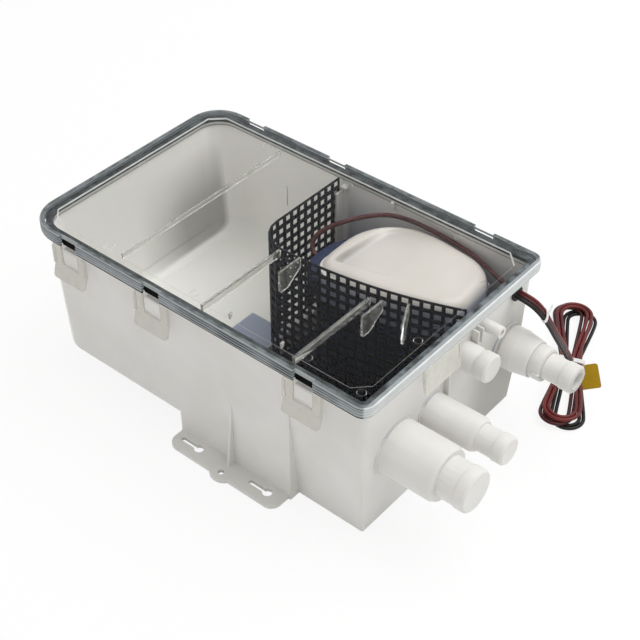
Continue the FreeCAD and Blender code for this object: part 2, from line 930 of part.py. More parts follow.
def latch(x):
    """One U-shaped latch of the near side, hanging from the lid's skirt."""
    y0 = -half_width
    y1 = y0 + latch_sheet
    top = skirt_bottom - latch_gap
    half = latch_width / 2
    window = latch_window / 2
    legs = []
    for side in (-1, 1):
        inner = x + side * window
        outer = x + side * half
        legs.append(box(min(inner, outer), max(inner, outer), y0, y1, latch_bar_top - 1, top))
        edge = x + side * (half - latch_rim)
        legs.append(box(
            min(edge, outer), max(edge, outer), y0 - latch_rim_proud, y0 + latch_gap,
            latch_bar_top, top - latch_rim_proud,
        ))
    tab = [
        V(x - half, y0, latch_bar_top),
        V(x - half, y1, latch_bar_top),
        V(x - half, y1 - latch_flare, latch_bottom),
        V(x - half, y0 - latch_flare, latch_bottom),
    ]
    body = fuse(legs + [prism(tab, V(latch_width, 0, 0))])
    corners = []
    for side in (-1, 1):
        edge_x = x + side * half
        low = V(edge_x - 0.1, y0 - latch_flare - 1, latch_bottom - 0.1)
        high = V(edge_x + 0.1, y1, latch_bottom + 0.1)
        corners += edges_near(body, low, high)
    return body.makeFillet(latch_corner_round, corners)


def screen_path():
    """The screen's line in plan: straight, a bend, then a wide curve."""
    start = V(screen_far_x, screen_far_y, 0)
    r = screen_bend_radius
    bend_start = V(screen_far_x, screen_long_y + r, 0)
    centre = V(screen_far_x + r, screen_long_y + r, 0)
    bend_end = V(screen_far_x + r, screen_long_y, 0)
    bend_mid = centre + V(-r, -r, 0) * (1 / math.sqrt(2))
    end = V(screen_end_x, screen_end_y, 0)
    run = end.x - bend_end.x
    rise = end.y - bend_end.y
    wide = (run * run + rise * rise) / (2 * rise)
    wide_centre = bend_end + V(0, wide, 0)
    half_angle = math.atan2(run, wide - rise) / 2
    wide_mid = wide_centre + V(math.sin(half_angle), -math.cos(half_angle), 0) * wide
    return start, bend_start, bend_mid, bend_end, wide_mid, end, centre, wide_centre, wide


def screen_end_angle():
    """The screen's heading at the end wall, in degrees from +X."""
    start, bend_start, bend_mid, bend_end, wide_mid, end, centre, wide_centre, wide = screen_path()
    return math.degrees(math.atan2(end.x - wide_centre.x, wide_centre.y - end.y))


def screen_body():
    """The screen as a plain bent sheet, notched under its top far corner."""
    start, bend_start, bend_mid, bend_end, wide_mid, end, centre, wide_centre, wide = screen_path()
    half = screen_sheet / 2

    def beside(point, middle, radius, side):
        """A point of an arc, moved along its own radius."""
        out = (point - middle).normalize()
        return middle + out * (radius + side)

    r = screen_bend_radius
    edges = []
    rails = []
    for side in (half, -half):
        a = start + V(-side, 0, 0)
        b = bend_start + V(-side, 0, 0)
        c = beside(bend_mid, centre, r, side)
        d = beside(bend_end, centre, r, side)
        e = beside(wide_mid, wide_centre, wide, side)
        f = beside(end, wide_centre, wide, side)
        edges.append(Part.LineSegment(a, b).toShape())
        edges.append(Part.Arc(b, c, d).toShape())
        edges.append(Part.Arc(d, e, f).toShape())
        rails.append((a, f))
    edges.append(Part.LineSegment(rails[0][0], rails[1][0]).toShape())
    edges.append(Part.LineSegment(rails[0][1], rails[1][1]).toShape())
    face = Part.Face(Part.Wire(Part.__sortEdges__(edges)))
    sheet = face.extrude(V(0, 0, screen_top - floor_top - screen_clearance))
    sheet.translate(V(0, 0, floor_top + screen_clearance))
    shelf_x = well_start_x + wall + screen_shelf_gap
    shelf = box(-half_length, shelf_x, -half_width, half_width, 0, shallow_top + screen_clearance)
    notch = box(
        screen_far_x - guide_depth, screen_far_x + guide_depth, screen_far_y - screen_notch, half_width,
        0, guide_top + screen_clearance,
    )
    return sheet.cut(shelf).cut(notch)


def screen_cutters():
    """The square holes, row by row, across the screen's whole run."""
    start, bend_start, bend_mid, bend_end, wide_mid, end, centre, wide_centre, wide = screen_path()
    r = screen_bend_radius
    straight = (start - bend_start).Length
    turn = r * math.pi / 2
    sweep = math.atan2(end.x - bend_end.x, wide - (end.y - bend_end.y))
    total = straight + turn + wide * sweep
    columns = int((total - screen_pitch) / screen_pitch)
    margin = (total - (columns - 1) * screen_pitch) / 2
    rows = int((screen_top - floor_top - screen_edge) / screen_pitch)
    drill = 5 * screen_sheet
    cutters = []
    for column in range(columns):
        s = margin + column * screen_pitch
        if s < straight:
            place = start + V(0, -s, 0)
            angle = 0.0
        elif s < straight + turn:
            a = (s - straight) / r
            place = centre + V(-math.cos(a), -math.sin(a), 0) * r
            angle = math.degrees(a)
        else:
            a = (s - straight - turn) / wide
            place = wide_centre + V(math.sin(a), -math.cos(a), 0) * wide
            angle = 90.0 + math.degrees(a)
        for row in range(rows):
            z = screen_top - screen_edge - screen_hole - row * screen_pitch
            low_limit = floor_top + screen_edge
            if place.x < well_start_x + wall + screen_shelf_gap + screen_hole:
                low_limit = shallow_top + screen_edge
            if z < low_limit:
                continue
            hole = box(-drill / 2, drill / 2, -screen_hole / 2, screen_hole / 2, 0, screen_hole)
            hole.rotate(V(0, 0, 0), Z_AXIS, angle)
            hole.translate(V(place.x, place.y, z))
            cutters.append(hole)
    return cutters


def filter_screen():
    """The flexible screen with its grid of square holes."""
    return screen_body().cut(Part.makeCompound(screen_cutters()))


def valve_inlet_body():
    """The valve half that passes through the end wall, with its seat."""
    shoulder = valve_neck_radius + valve_shoulder
    profile = [
        (nut_x - spigot_length, pipe_bore),
        (nut_x - spigot_length, spigot_radius - barb_end_drop),
        (nut_x - spigot_length + valve_edge, spigot_radius),
        (nut_x - thread_end, spigot_radius),
        (nut_x - thread_end, thread_radius),
        (valve_face_x, thread_radius),
        (valve_face_x, valve_body_radius - valve_body_edge),
        (valve_face_x + valve_body_edge, valve_body_radius),
        (valve_body_end - valve_edge, valve_body_radius),
        (valve_body_end, valve_body_radius - valve_body_edge / 2),
        (valve_split_x, shoulder),
        (valve_split_x, shoulder - valve_wall),
        (valve_body_end - 2 * valve_body_edge, valve_body_radius - valve_wall),
        (valve_seat_x, valve_body_radius - valve_wall),
        (valve_seat_x, pipe_bore),
    ]
    body = turned(profile, valve_y, valve_z)
    pin_hole = cylinder(
        flap_pin_radius + shaft_gap,
        V(valve_hinge_x, valve_y - valve_pin_reach, valve_hinge_z),
        V(valve_hinge_x, valve_y + valve_pin_reach, valve_hinge_z),
    )
    pieces = [body]
    near = flap_knuckle_half + running_gap
    for side in (-1, 1):
        y0 = valve_y + side * near
        y1 = valve_y + side * (near + flap_lug)
        low = valve_hinge_z - flap_lug_below
        high = valve_z + valve_body_radius - valve_wall
        lug = box(valve_seat_x - 1, valve_hinge_x + flap_lug_below, min(y0, y1), max(y0, y1), low, high)
        pieces.append(lug.cut(pin_hole))
    return fuse(pieces)


def valve_outlet_barb():
    """The valve's outlet half with its hose barb and a small stop lug."""
    valve_ring_x = valve_end_x - barb_length - barb_end_run
    profile = [
        (valve_split_x, valve_barb_bore),
        (valve_split_x, valve_neck_radius),
        (valve_neck_end - valve_edge, valve_neck_radius),
        (valve_neck_end, valve_neck_radius - valve_edge),
        (valve_neck_end, valve_barb_radius),
        (valve_ring_x, valve_barb_radius),
        (valve_ring_x + barb_lead, valve_barb_radius + barb_rise),
        (valve_end_x - barb_end_run, valve_barb_radius + barb_rise),
        (valve_end_x, valve_barb_radius - barb_end_drop),
        (valve_end_x, valve_barb_bore),
    ]
    barb = turned(profile, valve_y, valve_z)
    lug_y = valve_y - valve_neck_radius - valve_lug_proud
    lug = box(
        valve_neck_end - valve_lug_length, valve_neck_end, lug_y, lug_y + valve_lug,
        valve_z - valve_lug, valve_z,
    )
    return fuse([barb, lug])


def valve_flapper():
    """The hinged flap that stops water running back, with its pin."""
    x0 = valve_seat_x + flap_seat_gap
    disc = cylinder(flap_radius, V(x0, valve_y, valve_z), V(x0 + flap_thickness, valve_y, valve_z))
    hinge = V(valve_hinge_x, valve_y, valve_hinge_z)
    half = V(0, flap_knuckle_half, 0)
    reach = V(0, flap_knuckle_half + running_gap + flap_lug, 0)
    for side in (-1, 1):
        y0 = valve_y + side * flap_knuckle_half
        y1 = valve_y + side * (flap_radius + 1)
        corner = box(x0 - 1, x0 + 5, min(y0, y1), max(y0, y1), valve_hinge_z - flap_shoulder, valve_hinge_z + 5)
        disc = disc.cut(corner)
    knuckle = cylinder(flap_knuckle_radius, hinge - half, hinge + half)
    pin = cylinder(flap_pin_radius, hinge - reach, hinge + reach)
    return fuse([disc, knuckle, pin])


def bulkhead_seal():
    """The rubber washer between the valve and the wall."""
    return ring(
        valve_body_radius - valve_body_edge, thread_radius + thread_clearance,
        V(port_end_x, valve_y, valve_z), V(valve_face_x, valve_y, valve_z),
    )


def bulkhead_nut():
    """The hexagon nut that clamps the valve from inside the tub."""
    points = []
    for i in range(6):
        a = math.radians(60 * i + 30)
        points.append(V(nut_x, valve_y + nut_radius * math.cos(a), valve_z + nut_radius * math.sin(a)))
    nut = prism(points, V(nut_thickness, 0, 0))
    hole = cylinder(
        thread_radius + shaft_gap, V(nut_x - 1, valve_y, valve_z), V(valve_pad_inside_x + 1, valve_y, valve_z)
    )
    return nut.cut(hole)


def discharge_sleeve():
    """The rubber sleeve that joins the pump's stub to the valve."""
    middle = (stub_end_x + nut_x - spigot_length) / 2
    start = V(middle - sleeve_length / 2, valve_y, valve_z)
    end = V(middle + sleeve_length / 2, valve_y, valve_z)
    return ring(spigot_radius + sleeve_wall, spigot_radius, start, end)


def sleeve_clamps():
    """The two bands that hold the sleeve, each with its screw housing."""
    middle = (stub_end_x + nut_x - spigot_length) / 2
    inner = spigot_radius + sleeve_wall
    bands = []
    for side in (-1, 1):
        x = middle + side * (sleeve_length / 2 - sleeve_edge - clamp_width / 2)
        start = V(x - clamp_width / 2, valve_y, valve_z)
        end = V(x + clamp_width / 2, valve_y, valve_z)
        band = ring(inner + clamp_thickness, inner, start, end)
        low = valve_z + inner + clamp_thickness / 4
        high = valve_z + inner + clamp_screw
        screw = box(start.x, end.x, valve_y - clamp_screw_half, valve_y + clamp_screw_half, low, high)
        bands.append(fuse([band, screw]))
    return Part.makeCompound(bands)


def pump_outline(inset, z):
    """The pump's egg-shaped outline with its nose to -X, moved inwards."""
    corners = []
    for place in pump_corners:
        corner = from_corner(place, z)
        corners.append((corner.x, corner.y))
    wire = rounded_polygon(corners, pump_corner_radii, z)
    if inset != 0:
        wire = wire.makeOffset2D(-inset)
    return wire


def crown():
    """The large ball whose top gives the cover its slight dome."""
    centre = from_corner((crown_back, crown_in), cover_top - cover_crown_radius)
    return Part.makeSphere(cover_crown_radius, centre)


def pump_cover():
    """The white upper shell, domed, with a shallow scoop in its nose."""
    low = pump_split_z + seal_squeeze
    outside = slab(pump_outline(0, low), cover_top + cover_round - low).common(crown())
    top_edges = []
    for edge in outside.Edges:
        if edge.BoundBox.ZMin > cover_top - 2 * cover_round:
            top_edges.append(edge)
    outside = outside.makeFillet(cover_round, top_edges)
    hollow_height = cover_top - cover_plate - cover_hollow_gap - low
    hollow = slab(pump_outline(pump_shell, low), hollow_height)
    body = outside.cut(hollow)
    scoop_z = cover_top - scoop_below_crown + scoop_radius - scoop_depth
    scoop = cylinder(scoop_radius, from_corner(scoop_start, scoop_z), from_corner(scoop_end, scoop_z))
    stop_height = 2 * scoop_radius
    stop = Part.makeCylinder(scoop_width / 2, stop_height, from_corner(scoop_middle, cover_top - scoop_radius))
    return body.cut(scoop.common(stop))


def body_seal():
    """The flat ring seal between the pump's two shells."""
    outer = slab(pump_outline(seal_edge, pump_split_z), seal_squeeze)
    inner = slab(pump_outline(pump_shell - seal_edge, pump_split_z), seal_squeeze)
    return outer.cut(inner)


def pump_body():
    """The dark lower shell: volute, riser, motor well and float chamber."""
    bottom = pump_outline(pump_taper_bottom, body_bottom)
    top = pump_outline(pump_taper_top, pump_split_z - pump_flange)
    taper = Part.makeLoft([bottom, top], True, True)
    flange = slab(pump_outline(-pump_flange_proud, pump_split_z - pump_flange), pump_flange)
    stub = cylinder(spigot_radius, V(riser_x, valve_y, valve_z), V(stub_end_x, valve_y, valve_z))
    relief_radius = spigot_radius + sleeve_wall + clamp_thickness + clamp_screw + running_gap
    relief_x = (stub_end_x + nut_x - spigot_length - sleeve_length) / 2 - running_gap
    relief = cylinder(relief_radius, V(relief_x, valve_y, valve_z), V(half_length, valve_y, valve_z))
    body = fuse([fuse([taper, flange]).cut(relief), stub])
    axis = V(motor_x, motor_y, 0)
    up = V(0, 0, 1)
    low = body_bottom + chamber_floor
    riser_height = valve_z + riser_radius - low
    float_room = float_radius + float_clearance
    cuts = [
        Part.makeCylinder(volute_radius, volute_height, axis + up * body_bottom),
        Part.makeCylinder(shaft_radius + can_clearance, partition + 2, axis + up * (volute_top - 1)),
        Part.makeCylinder(seal_radius, seal_height, axis + up * (can_bottom - seal_height)),
        Part.makeCylinder(can_radius + can_clearance, pump_split_z - can_bottom, axis + up * can_bottom),
        Part.makeCylinder(riser_radius, riser_height, V(riser_x, riser_y, low)),
        cylinder(riser_radius, V(riser_x, valve_y, valve_z), V(stub_end_x + 1, valve_y, valve_z)),
        box(
            motor_x + riser_start, riser_x, riser_y - riser_radius, riser_y + riser_radius / 3,
            low, volute_top - 1,
        ),
        Part.makeCylinder(float_room, pump_split_z - low, V(float_x, float_y, low)),
        switch_block(switch_clearance, pump_split_z - switch_bottom),
    ]
    cuts += chamber_holes(body_bottom - 1, chamber_floor + 2)
    for side in (-1, 1):
        cuts.append(snap_tab(side, snap_clearance, snap_height + snap_room))
    for cut in cuts:
        body = body.cut(cut)
    return body.removeSplitter()


def switch_block(clearance, height):
    """The block of the float switch, or the pocket that it sits in."""
    long_half = switch_long / 2 + clearance
    wide_half = switch_wide / 2 + clearance
    return box(
        float_x - wide_half, float_x + wide_half, float_y - long_half, float_y + long_half,
        switch_bottom, switch_bottom + height,
    )


def chamber_holes(z, height):
    """The four holes that let water into the float chamber."""
    holes = []
    for i in range(4):
        a = math.radians(90 * i + 45)
        place = V(float_x + chamber_hole_ring * math.cos(a), float_y + chamber_hole_ring * math.sin(a), z)
        holes.append(Part.makeCylinder(chamber_hole_radius, height, place))
    return holes


def snap_tab(side, clearance, height):
    """One snap tab of the strainer, or its slot when a clearance is given."""
    middle_y = wall_y - snap_in
    outline = slab(pump_outline(pump_taper_bottom, strainer_top), 1.0)
    limits = outline.common(
        box(-half_length, half_length, middle_y - 0.1, middle_y + 0.1, 0, tub_top)
    ).BoundBox
    if side < 0:
        x0 = limits.XMin
    else:
        x0 = limits.XMax - snap_thickness
    half = snap_width / 2 + clearance
    return box(
        x0 - clearance, x0 + snap_thickness + clearance, middle_y - half, middle_y + half,
        strainer_top - strainer_plate, strainer_top + height,
    )


def strainer_base():
    """The slotted base: wall with slots, top plate with the impeller eye."""
    low = floor_top
    outside = slab(pump_outline(pump_taper_bottom, low), strainer_height + strainer_plate)
    inside = slab(pump_outline(pump_taper_bottom + strainer_wall, low), strainer_height)
    body = outside.cut(inside)
    limits = outside.BoundBox
    slot_top = low + strainer_height - strainer_bars
    half = strainer_slot / 2
    cuts = []
    along_x = int((limits.XLength - strainer_ends) / strainer_slot_pitch)
    first_x = (limits.XMin + limits.XMax) / 2 - (along_x - 1) * strainer_slot_pitch / 2
    for i in range(along_x):
        x = first_x + i * strainer_slot_pitch
        cuts.append(box(x - half, x + half, limits.YMin - 1, limits.YMax + 1, low - 1, slot_top))
    along_y = int((limits.YLength - strainer_ends) / strainer_slot_pitch)
    first_y = (limits.YMin + limits.YMax) / 2 - (along_y - 1) * strainer_slot_pitch / 2
    for i in range(along_y):
        y = first_y + i * strainer_slot_pitch
        cuts.append(box(limits.XMin - 1, limits.XMax + 1, y - half, y + half, low - 1, slot_top))
    under = strainer_top - 2 * strainer_plate
    cuts.append(Part.makeCylinder(eye_radius, 2 * strainer_plate, V(motor_x, motor_y, under)))
    cuts += chamber_holes(under, 3 * strainer_plate)
    for cut in cuts:
        body = body.cut(cut)
    return fuse([body, snap_tab(-1, 0, snap_height), snap_tab(1, 0, snap_height)])


def motor_can():
    """The steel can that holds the motor, open at the top."""
    axis = V(motor_x, motor_y, can_bottom)
    can = Part.makeCylinder(can_radius, can_height, axis)
    hollow = Part.makeCylinder(can_radius - can_wall, can_height, axis + V(0, 0, can_wall))
    hole = Part.makeCylinder(bearing_radius, can_wall * 3, axis - V(0, 0, can_wall))
    return can.cut(hollow).cut(hole)


def end_plate():
    """The plastic end plate with the upper bearing seat and the brush guides."""
    axis = V(motor_x, motor_y, 0)
    low = V(motor_x, motor_y, can_top - end_plate_height)
    inside = can_radius - can_wall - shaft_gap
    skirt_height = end_plate_height - end_plate_top
    plate = Part.makeCylinder(inside, end_plate_top, axis + V(0, 0, can_top - end_plate_top))
    skirt = Part.makeCylinder(inside, skirt_height, low)
    skirt = skirt.cut(Part.makeCylinder(commutator_radius + brush_gap + brush_room, skirt_height, low))
    body = fuse([plate, skirt])
    seat = V(motor_x, motor_y, can_top - bearing_below_top)
    body = body.cut(Part.makeCylinder(bearing_radius, bearing_height, seat))
    for side in (-1, 1):
        body = body.cut(brush_block(side, 2 * shaft_gap))
    return body


def brush_block(side, clearance):
    """One carbon brush beside the commutator, or its guide."""
    near = commutator_radius + brush_gap
    far = near + brush_length + clearance
    x0 = motor_x + side * near
    x1 = motor_x + side * far
    low = can_top - brush_below_top - clearance
    high = can_top - brush_below_top + brush_height + clearance
    half = brush_width / 2 + clearance
    return box(min(x0, x1), max(x0, x1), motor_y - half, motor_y + half, low, high)


def brushes():
    """The two carbon brushes."""
    return Part.makeCompound([brush_block(-1, 0), brush_block(1, 0)])


def field_magnets():
    """The two curved magnets inside the can."""
    outer = can_radius - can_wall - shaft_gap
    height = can_height - magnet_start - magnet_end
    axis = V(motor_x, motor_y, can_bottom + magnet_start)
    tube = Part.makeCylinder(outer, height, axis).cut(Part.makeCylinder(outer - magnet_thickness, height, axis))
    half = magnet_split / 2
    gap = box(
        motor_x - half, motor_x + half, motor_y - can_radius, motor_y + can_radius, can_bottom, can_top
    )
    return Part.makeCompound(tube.cut(gap).Solids)


def motor_shaft():
    """The steel shaft that carries impeller, armature and commutator."""
    low = body_bottom + impeller_gap
    return Part.makeCylinder(shaft_radius, can_top + shaft_end - low, V(motor_x, motor_y, low))


def bearing(z):
    """One plain bearing on the shaft."""
    axis = V(motor_x, motor_y, z)
    bush = Part.makeCylinder(bearing_radius - press_gap, bearing_height, axis)
    return bush.cut(Part.makeCylinder(shaft_radius + shaft_gap, bearing_height, axis))


def lower_bearing():
    """The bearing in the bottom of the can."""
    return bearing(can_bottom)


def upper_bearing():
    """The bearing in the end plate."""
    return bearing(can_top - bearing_below_top)


def shaft_seal():
    """The rubber lip seal under the motor."""
    axis = V(motor_x, motor_y, can_bottom - seal_height)
    body = Part.makeCylinder(seal_radius - press_gap, seal_height, axis)
    return body.cut(Part.makeCylinder(shaft_radius + shaft_gap, seal_height, axis))


def armature():
    """The laminated armature with its winding slots."""
    axis = V(motor_x, motor_y, can_bottom + armature_start)
    height = can_height - armature_start - armature_end
    core = Part.makeCylinder(armature_radius, height, axis)
    half = armature_slot / 2
    for i in range(armature_slots):
        slot = box(armature_slot_start, armature_radius + 1, -half, half, 0, height)
        slot.rotate(V(0, 0, 0), Z_AXIS, 360.0 * i / armature_slots)
        slot.translate(axis)
        core = core.cut(slot)
    return core.cut(Part.makeCylinder(shaft_radius, height, axis))


def commutator():
    """The commutator drum under the upper bearing."""
    axis = V(motor_x, motor_y, can_top - commutator_below_top - commutator_height)
    drum = Part.makeCylinder(commutator_radius, commutator_height, axis)
    return drum.cut(Part.makeCylinder(shaft_radius, commutator_height, axis))


def impeller():
    """The open impeller: back plate, hub and curved blades facing the eye."""
    low = body_bottom + impeller_gap
    axis = V(motor_x, motor_y, low)
    lift = V(0, 0, impeller_height - impeller_plate)
    plate = Part.makeCylinder(impeller_radius, impeller_plate, axis + lift)
    hub = Part.makeCylinder(impeller_hub_radius, impeller_height, axis)
    pieces = [plate, hub]
    limit = Part.makeCylinder(impeller_radius - blade_inside, impeller_height, axis)
    for i in range(impeller_blades):
        outer = Part.makeCylinder(blade_sweep + blade_half, impeller_height, V(blade_sweep, 0, 0))
        inner = Part.makeCylinder(blade_sweep - blade_half, impeller_height, V(blade_sweep, 0, 0))
        half = box(-1, 2 * blade_sweep + 2, 0, blade_sweep + 2, 0, impeller_height)
        blade = outer.cut(inner).common(half)
        blade.rotate(V(0, 0, 0), Z_AXIS, 360.0 * i / impeller_blades)
        blade.translate(axis)
        pieces.append(blade.common(limit))
    wheel = fuse(pieces)
    return wheel.cut(Part.makeCylinder(shaft_radius, impeller_height, axis))


def level_float():
    """The float, a closed drum with a hole for its post."""
    axis = V(float_x, float_y, float_bottom)
    drum = Part.makeCylinder(float_radius, float_height, axis)
    drum = drum.makeFillet(float_round, drum.Edges)
    return drum.cut(Part.makeCylinder(float_post_radius + float_post_gap, float_height, axis))


def float_post():
    """The post that guides the float, with the shoulder it rests on."""
    low = body_bottom + chamber_floor
    axis = V(float_x, float_y, low)
    post = Part.makeCylinder(float_post_radius, switch_bottom - low, axis)
    shoulder = Part.makeCylinder(float_post_radius + float_shoulder, float_bottom - running_gap - low, axis)
    return fuse([post, shoulder])


def float_switch():
    """The sealed switch block over the float."""
    return switch_block(0, switch_height)


def rounded_path(points):
    """Straight runs joined by arcs as large as the runs allow, with the radii."""
    edges = []
    radii = []
    last = points[0]
    for i in range(1, len(points) - 1):
        here = points[i]
        back = points[i - 1] - here
        on = points[i + 1] - here
        shorter = min(back.Length, on.Length)
        turn = math.pi - back.getAngle(on)
        to_back = V(back).normalize()
        to_on = V(on).normalize()
        leave = shorter * 0.45
        radius = leave / math.tan(turn / 2)
        start = here + to_back * leave
        end = here + to_on * leave
        bisector = (to_back + to_on).normalize()
        middle = here + bisector * (radius / math.cos(turn / 2) - radius)
        edges.append(Part.LineSegment(last, start).toShape())
        edges.append(Part.Arc(start, middle, end).toShape())
        radii.append(round(radius, 1))
        last = end
    edges.append(Part.LineSegment(last, points[-1]).toShape())
    return Part.Wire(edges), radii


def tube_along(points, radius, name):
    """A round cord along a route, with its volume compared."""
    path, radii = rounded_path(points)
    first = (points[1] - points[0]).normalize()
    section = Part.Wire([Part.Circle(points[0], first, radius).toShape()])
    cord = path.makePipeShell([section], True, True)
    expected = math.pi * radius * radius * path.Length
    share = round(cord.Volume / expected, 4)
    print(name, "radii", radii, "length", round(path.Length, 1), "volume share", share)
    return cord


def pump_cable():
    """The pump's lead inside the tub, from the cover round to the grommet."""
    points = []
    for back, inward, below in cable_points:
        points.append(from_corner((back, inward), lid_under - below))
    points.append(V(grommet_inside_x(), grommet_y, grommet_z))
    cord = tube_along(points, lead_radius, "pump_cable")
    cover = slab(pump_outline(0, pump_split_z), cover_height)
    return cord.cut(cover).cut(cable_grommet())


def grommet_inside_x():
    """The plane of the grommet's inner face."""
    return end_wall_x(grommet_z) - wall - grommet_flange - grommet_seat


def cable_grommet():
    """The rubber grommet in the end wall."""
    x0 = grommet_inside_x()
    x3 = port_end_x + grommet_flange
    profile = [
        (x0, 0),
        (x0, grommet_flange_radius),
        (x0 + grommet_flange, grommet_flange_radius),
        (x0 + grommet_flange, grommet_neck_radius),
        (port_end_x, grommet_neck_radius),
        (port_end_x, grommet_flange_radius),
        (x3, grommet_flange_radius),
        (x3, 0),
    ]
    return turned(profile, grommet_y, grommet_z)


def wire_route(side):
    """The points of one outer wire, beside the middle one by its spacing."""
    points = [V(port_end_x + grommet_flange, grommet_y, grommet_z) + V(*wire_sides[0]) * wire_spacing * side]
    for i, (out, beside, share) in enumerate(wire_points):
        aside = V(*wire_sides[min(i + 1, len(wire_sides) - 1)])
        points.append(from_outlet((out, beside), grommet_z * share) + aside * wire_spacing * side)
    return points


def outer_wire(side, name):
    """One wire from the grommet down to the hank."""
    cord = tube_along(wire_route(side), wire_radius, name)
    return cord.cut(hank_outside()).cut(cable_grommet())


def lobe(big, big_radius, small, small_radius, z, height):
    """A drop-shaped slab round two circles."""
    between = small - big
    length = between.Length
    lean = math.acos((big_radius - small_radius) / length)
    heading = math.atan2(between.y, between.x)

    def around(centre, radius, angle):
        """A point of one of the circles."""
        return centre + V(math.cos(angle), math.sin(angle), 0) * radius

    a = around(big, big_radius, heading + lean)
    b = around(big, big_radius, heading + math.pi)
    c = around(big, big_radius, heading - lean)
    d = around(small, small_radius, heading - lean)
    e = around(small, small_radius, heading)
    f = around(small, small_radius, heading + lean)
    wire = Part.Wire([
        Part.Arc(a, b, c).toShape(),
        Part.LineSegment(c, d).toShape(),
        Part.Arc(d, e, f).toShape(),
        Part.LineSegment(f, a).toShape(),
    ])
    piece = slab(wire, height)
    piece.translate(V(0, 0, z))
    return piece


def hank_lobes(inset, waist_inset):
    """The two lobes of the hank, moved inwards at their ends and waist."""
    waist = hank_waist_radius - waist_inset
    far_end = from_outlet(hank_far_end, 0)
    far = lobe(far_end, hank_far_radius - inset, from_outlet(hank_far_waist, 0), waist, 0, hank_height)
    near_end = from_outlet(hank_near_end, 0)
    near = lobe(near_end, hank_near_radius - inset, from_outlet(hank_near_waist, 0), waist, 0, hank_height)
    return far, near


def hank_outside():
    """The hank's whole outside."""
    far, near = hank_lobes(0, 0)
    return fuse([far, near])


def hank_tie_block(width, low, high):
    """A block across the hank's waist."""
    block = box(-width / 2, width / 2, -tie_width / 2, tie_width / 2, low, high)
    block.rotate(V(0, 0, 0), Z_AXIS, hank_turn)
    block.translate(from_outlet(hank_middle, 0))
    return block


def hank_core():
    """The hank's waist inside its tie."""
    core = hank_tie_block(hank_span, tie_thickness, hank_height - tie_thickness)
    return core.common(hank_outside())


def wire_hank():
    """The hank of folded wires on the floor, as its outer shape."""
    hole_far, hole_near = hank_lobes(hank_strands, hank_strands_waist)
    body = hank_outside().cut(hole_far).cut(hole_near)
    body = body.cut(hank_tie_block(hank_span, -1, hank_height + 1))
    return fuse([body, hank_core()])


def hank_tie():
    """The band round the hank's waist."""
    return hank_tie_block(hank_tie_width, 0, hank_height).cut(hank_core())


def wire_tie():
    """The band that holds the three wires under the lid's edge."""
    place = wire_route(0)[2]
    along = (wire_route(0)[3] - place).normalize()
    start = place + along * (tie_along - tie_width / 2)
    band = cylinder(wire_spacing + wire_radius + tie_band, start, start + along * tie_width)
    for side in (-1, 0, 1):
        path, radii = rounded_path(wire_route(side))
        first_point = wire_route(side)[0]
        heading = (wire_route(side)[1] - first_point).normalize()
        section = Part.Wire([Part.Circle(first_point, heading, wire_radius).toShape()])
        band = band.cut(path.makePipeShell([section], True, True))
    return band


def wire_tag():
    """The small card on the wires, flat on the floor beside the waist."""
    corners = []
    for place in tag_corners:
        corner = from_outlet(place, 0)
        corners.append((corner.x, corner.y))
    card = slab(rounded_polygon(corners, [tag_round] * len(corners), 0), tag_thickness)
    return max(card.cut(hank_outside()).cut(hank_tie()).Solids, key=lambda s: s.Volume)


NODES = {
    "sump_box": sump_box,
    "edge_trim": edge_trim,
    "lid": lid,
    "filter_screen": filter_screen,
    "valve_inlet_body": valve_inlet_body,
    "valve_outlet_barb": valve_outlet_barb,
    "valve_flapper": valve_flapper,
    "bulkhead_seal": bulkhead_seal,
    "bulkhead_nut": bulkhead_nut,
    "discharge_sleeve": discharge_sleeve,
    "sleeve_clamps": sleeve_clamps,
    "pump_cover": pump_cover,
    "body_seal": body_seal,
    "pump_body": pump_body,
    "strainer_base": strainer_base,
    "motor_can": motor_can,
    "end_plate": end_plate,
    "brushes": brushes,
    "field_magnets": field_magnets,
    "motor_shaft": motor_shaft,
    "lower_bearing": lower_bearing,
    "upper_bearing": upper_bearing,
    "shaft_seal": shaft_seal,
    "armature": armature,
    "commutator": commutator,
    "impeller": impeller,
    "level_float": level_float,
    "float_post": float_post,
    "float_switch": float_switch,
    "pump_cable": pump_cable,
    "cable_grommet": cable_grommet,
    "wire_hank": wire_hank,
    "hank_tie": hank_tie,
    "wire_tie": wire_tie,
    "wire_tag": wire_tag,
}


def save(name, shape):
    """Writes one node's STEP file."""
    shape.exportStep(os.path.join("parts", name + ".step"))
    print(name, len(shape.Solids), "solids", round(shape.Volume), "mm3", "valid", shape.isValid())


def main():
    os.makedirs("parts", exist_ok=True)
    for name, make in NODES.items():
        save(name, make())
    for number, x in enumerate(latch_x, start=1):
        near = latch(x)
        save("latch_front_" + str(number), near)
        save("latch_back_" + str(number), mirror_y(near))
    for name, side in (("wire_black", -1), ("wire_brown", 0), ("wire_red", 1)):
        save(name, outer_wire(side, name))


main()
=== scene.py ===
import logging
import math
from collections.abc import Sequence
from dataclasses import dataclass, replace
from enum import Enum

import bmesh
import bpy
from bmesh.types import BMesh, BMFace, BMVert
from bpy.types import Camera, Curve, Light, Material, Mesh, MeshPolygon, Node, NodeSocket, Object, World
from mathutils import Matrix, Vector


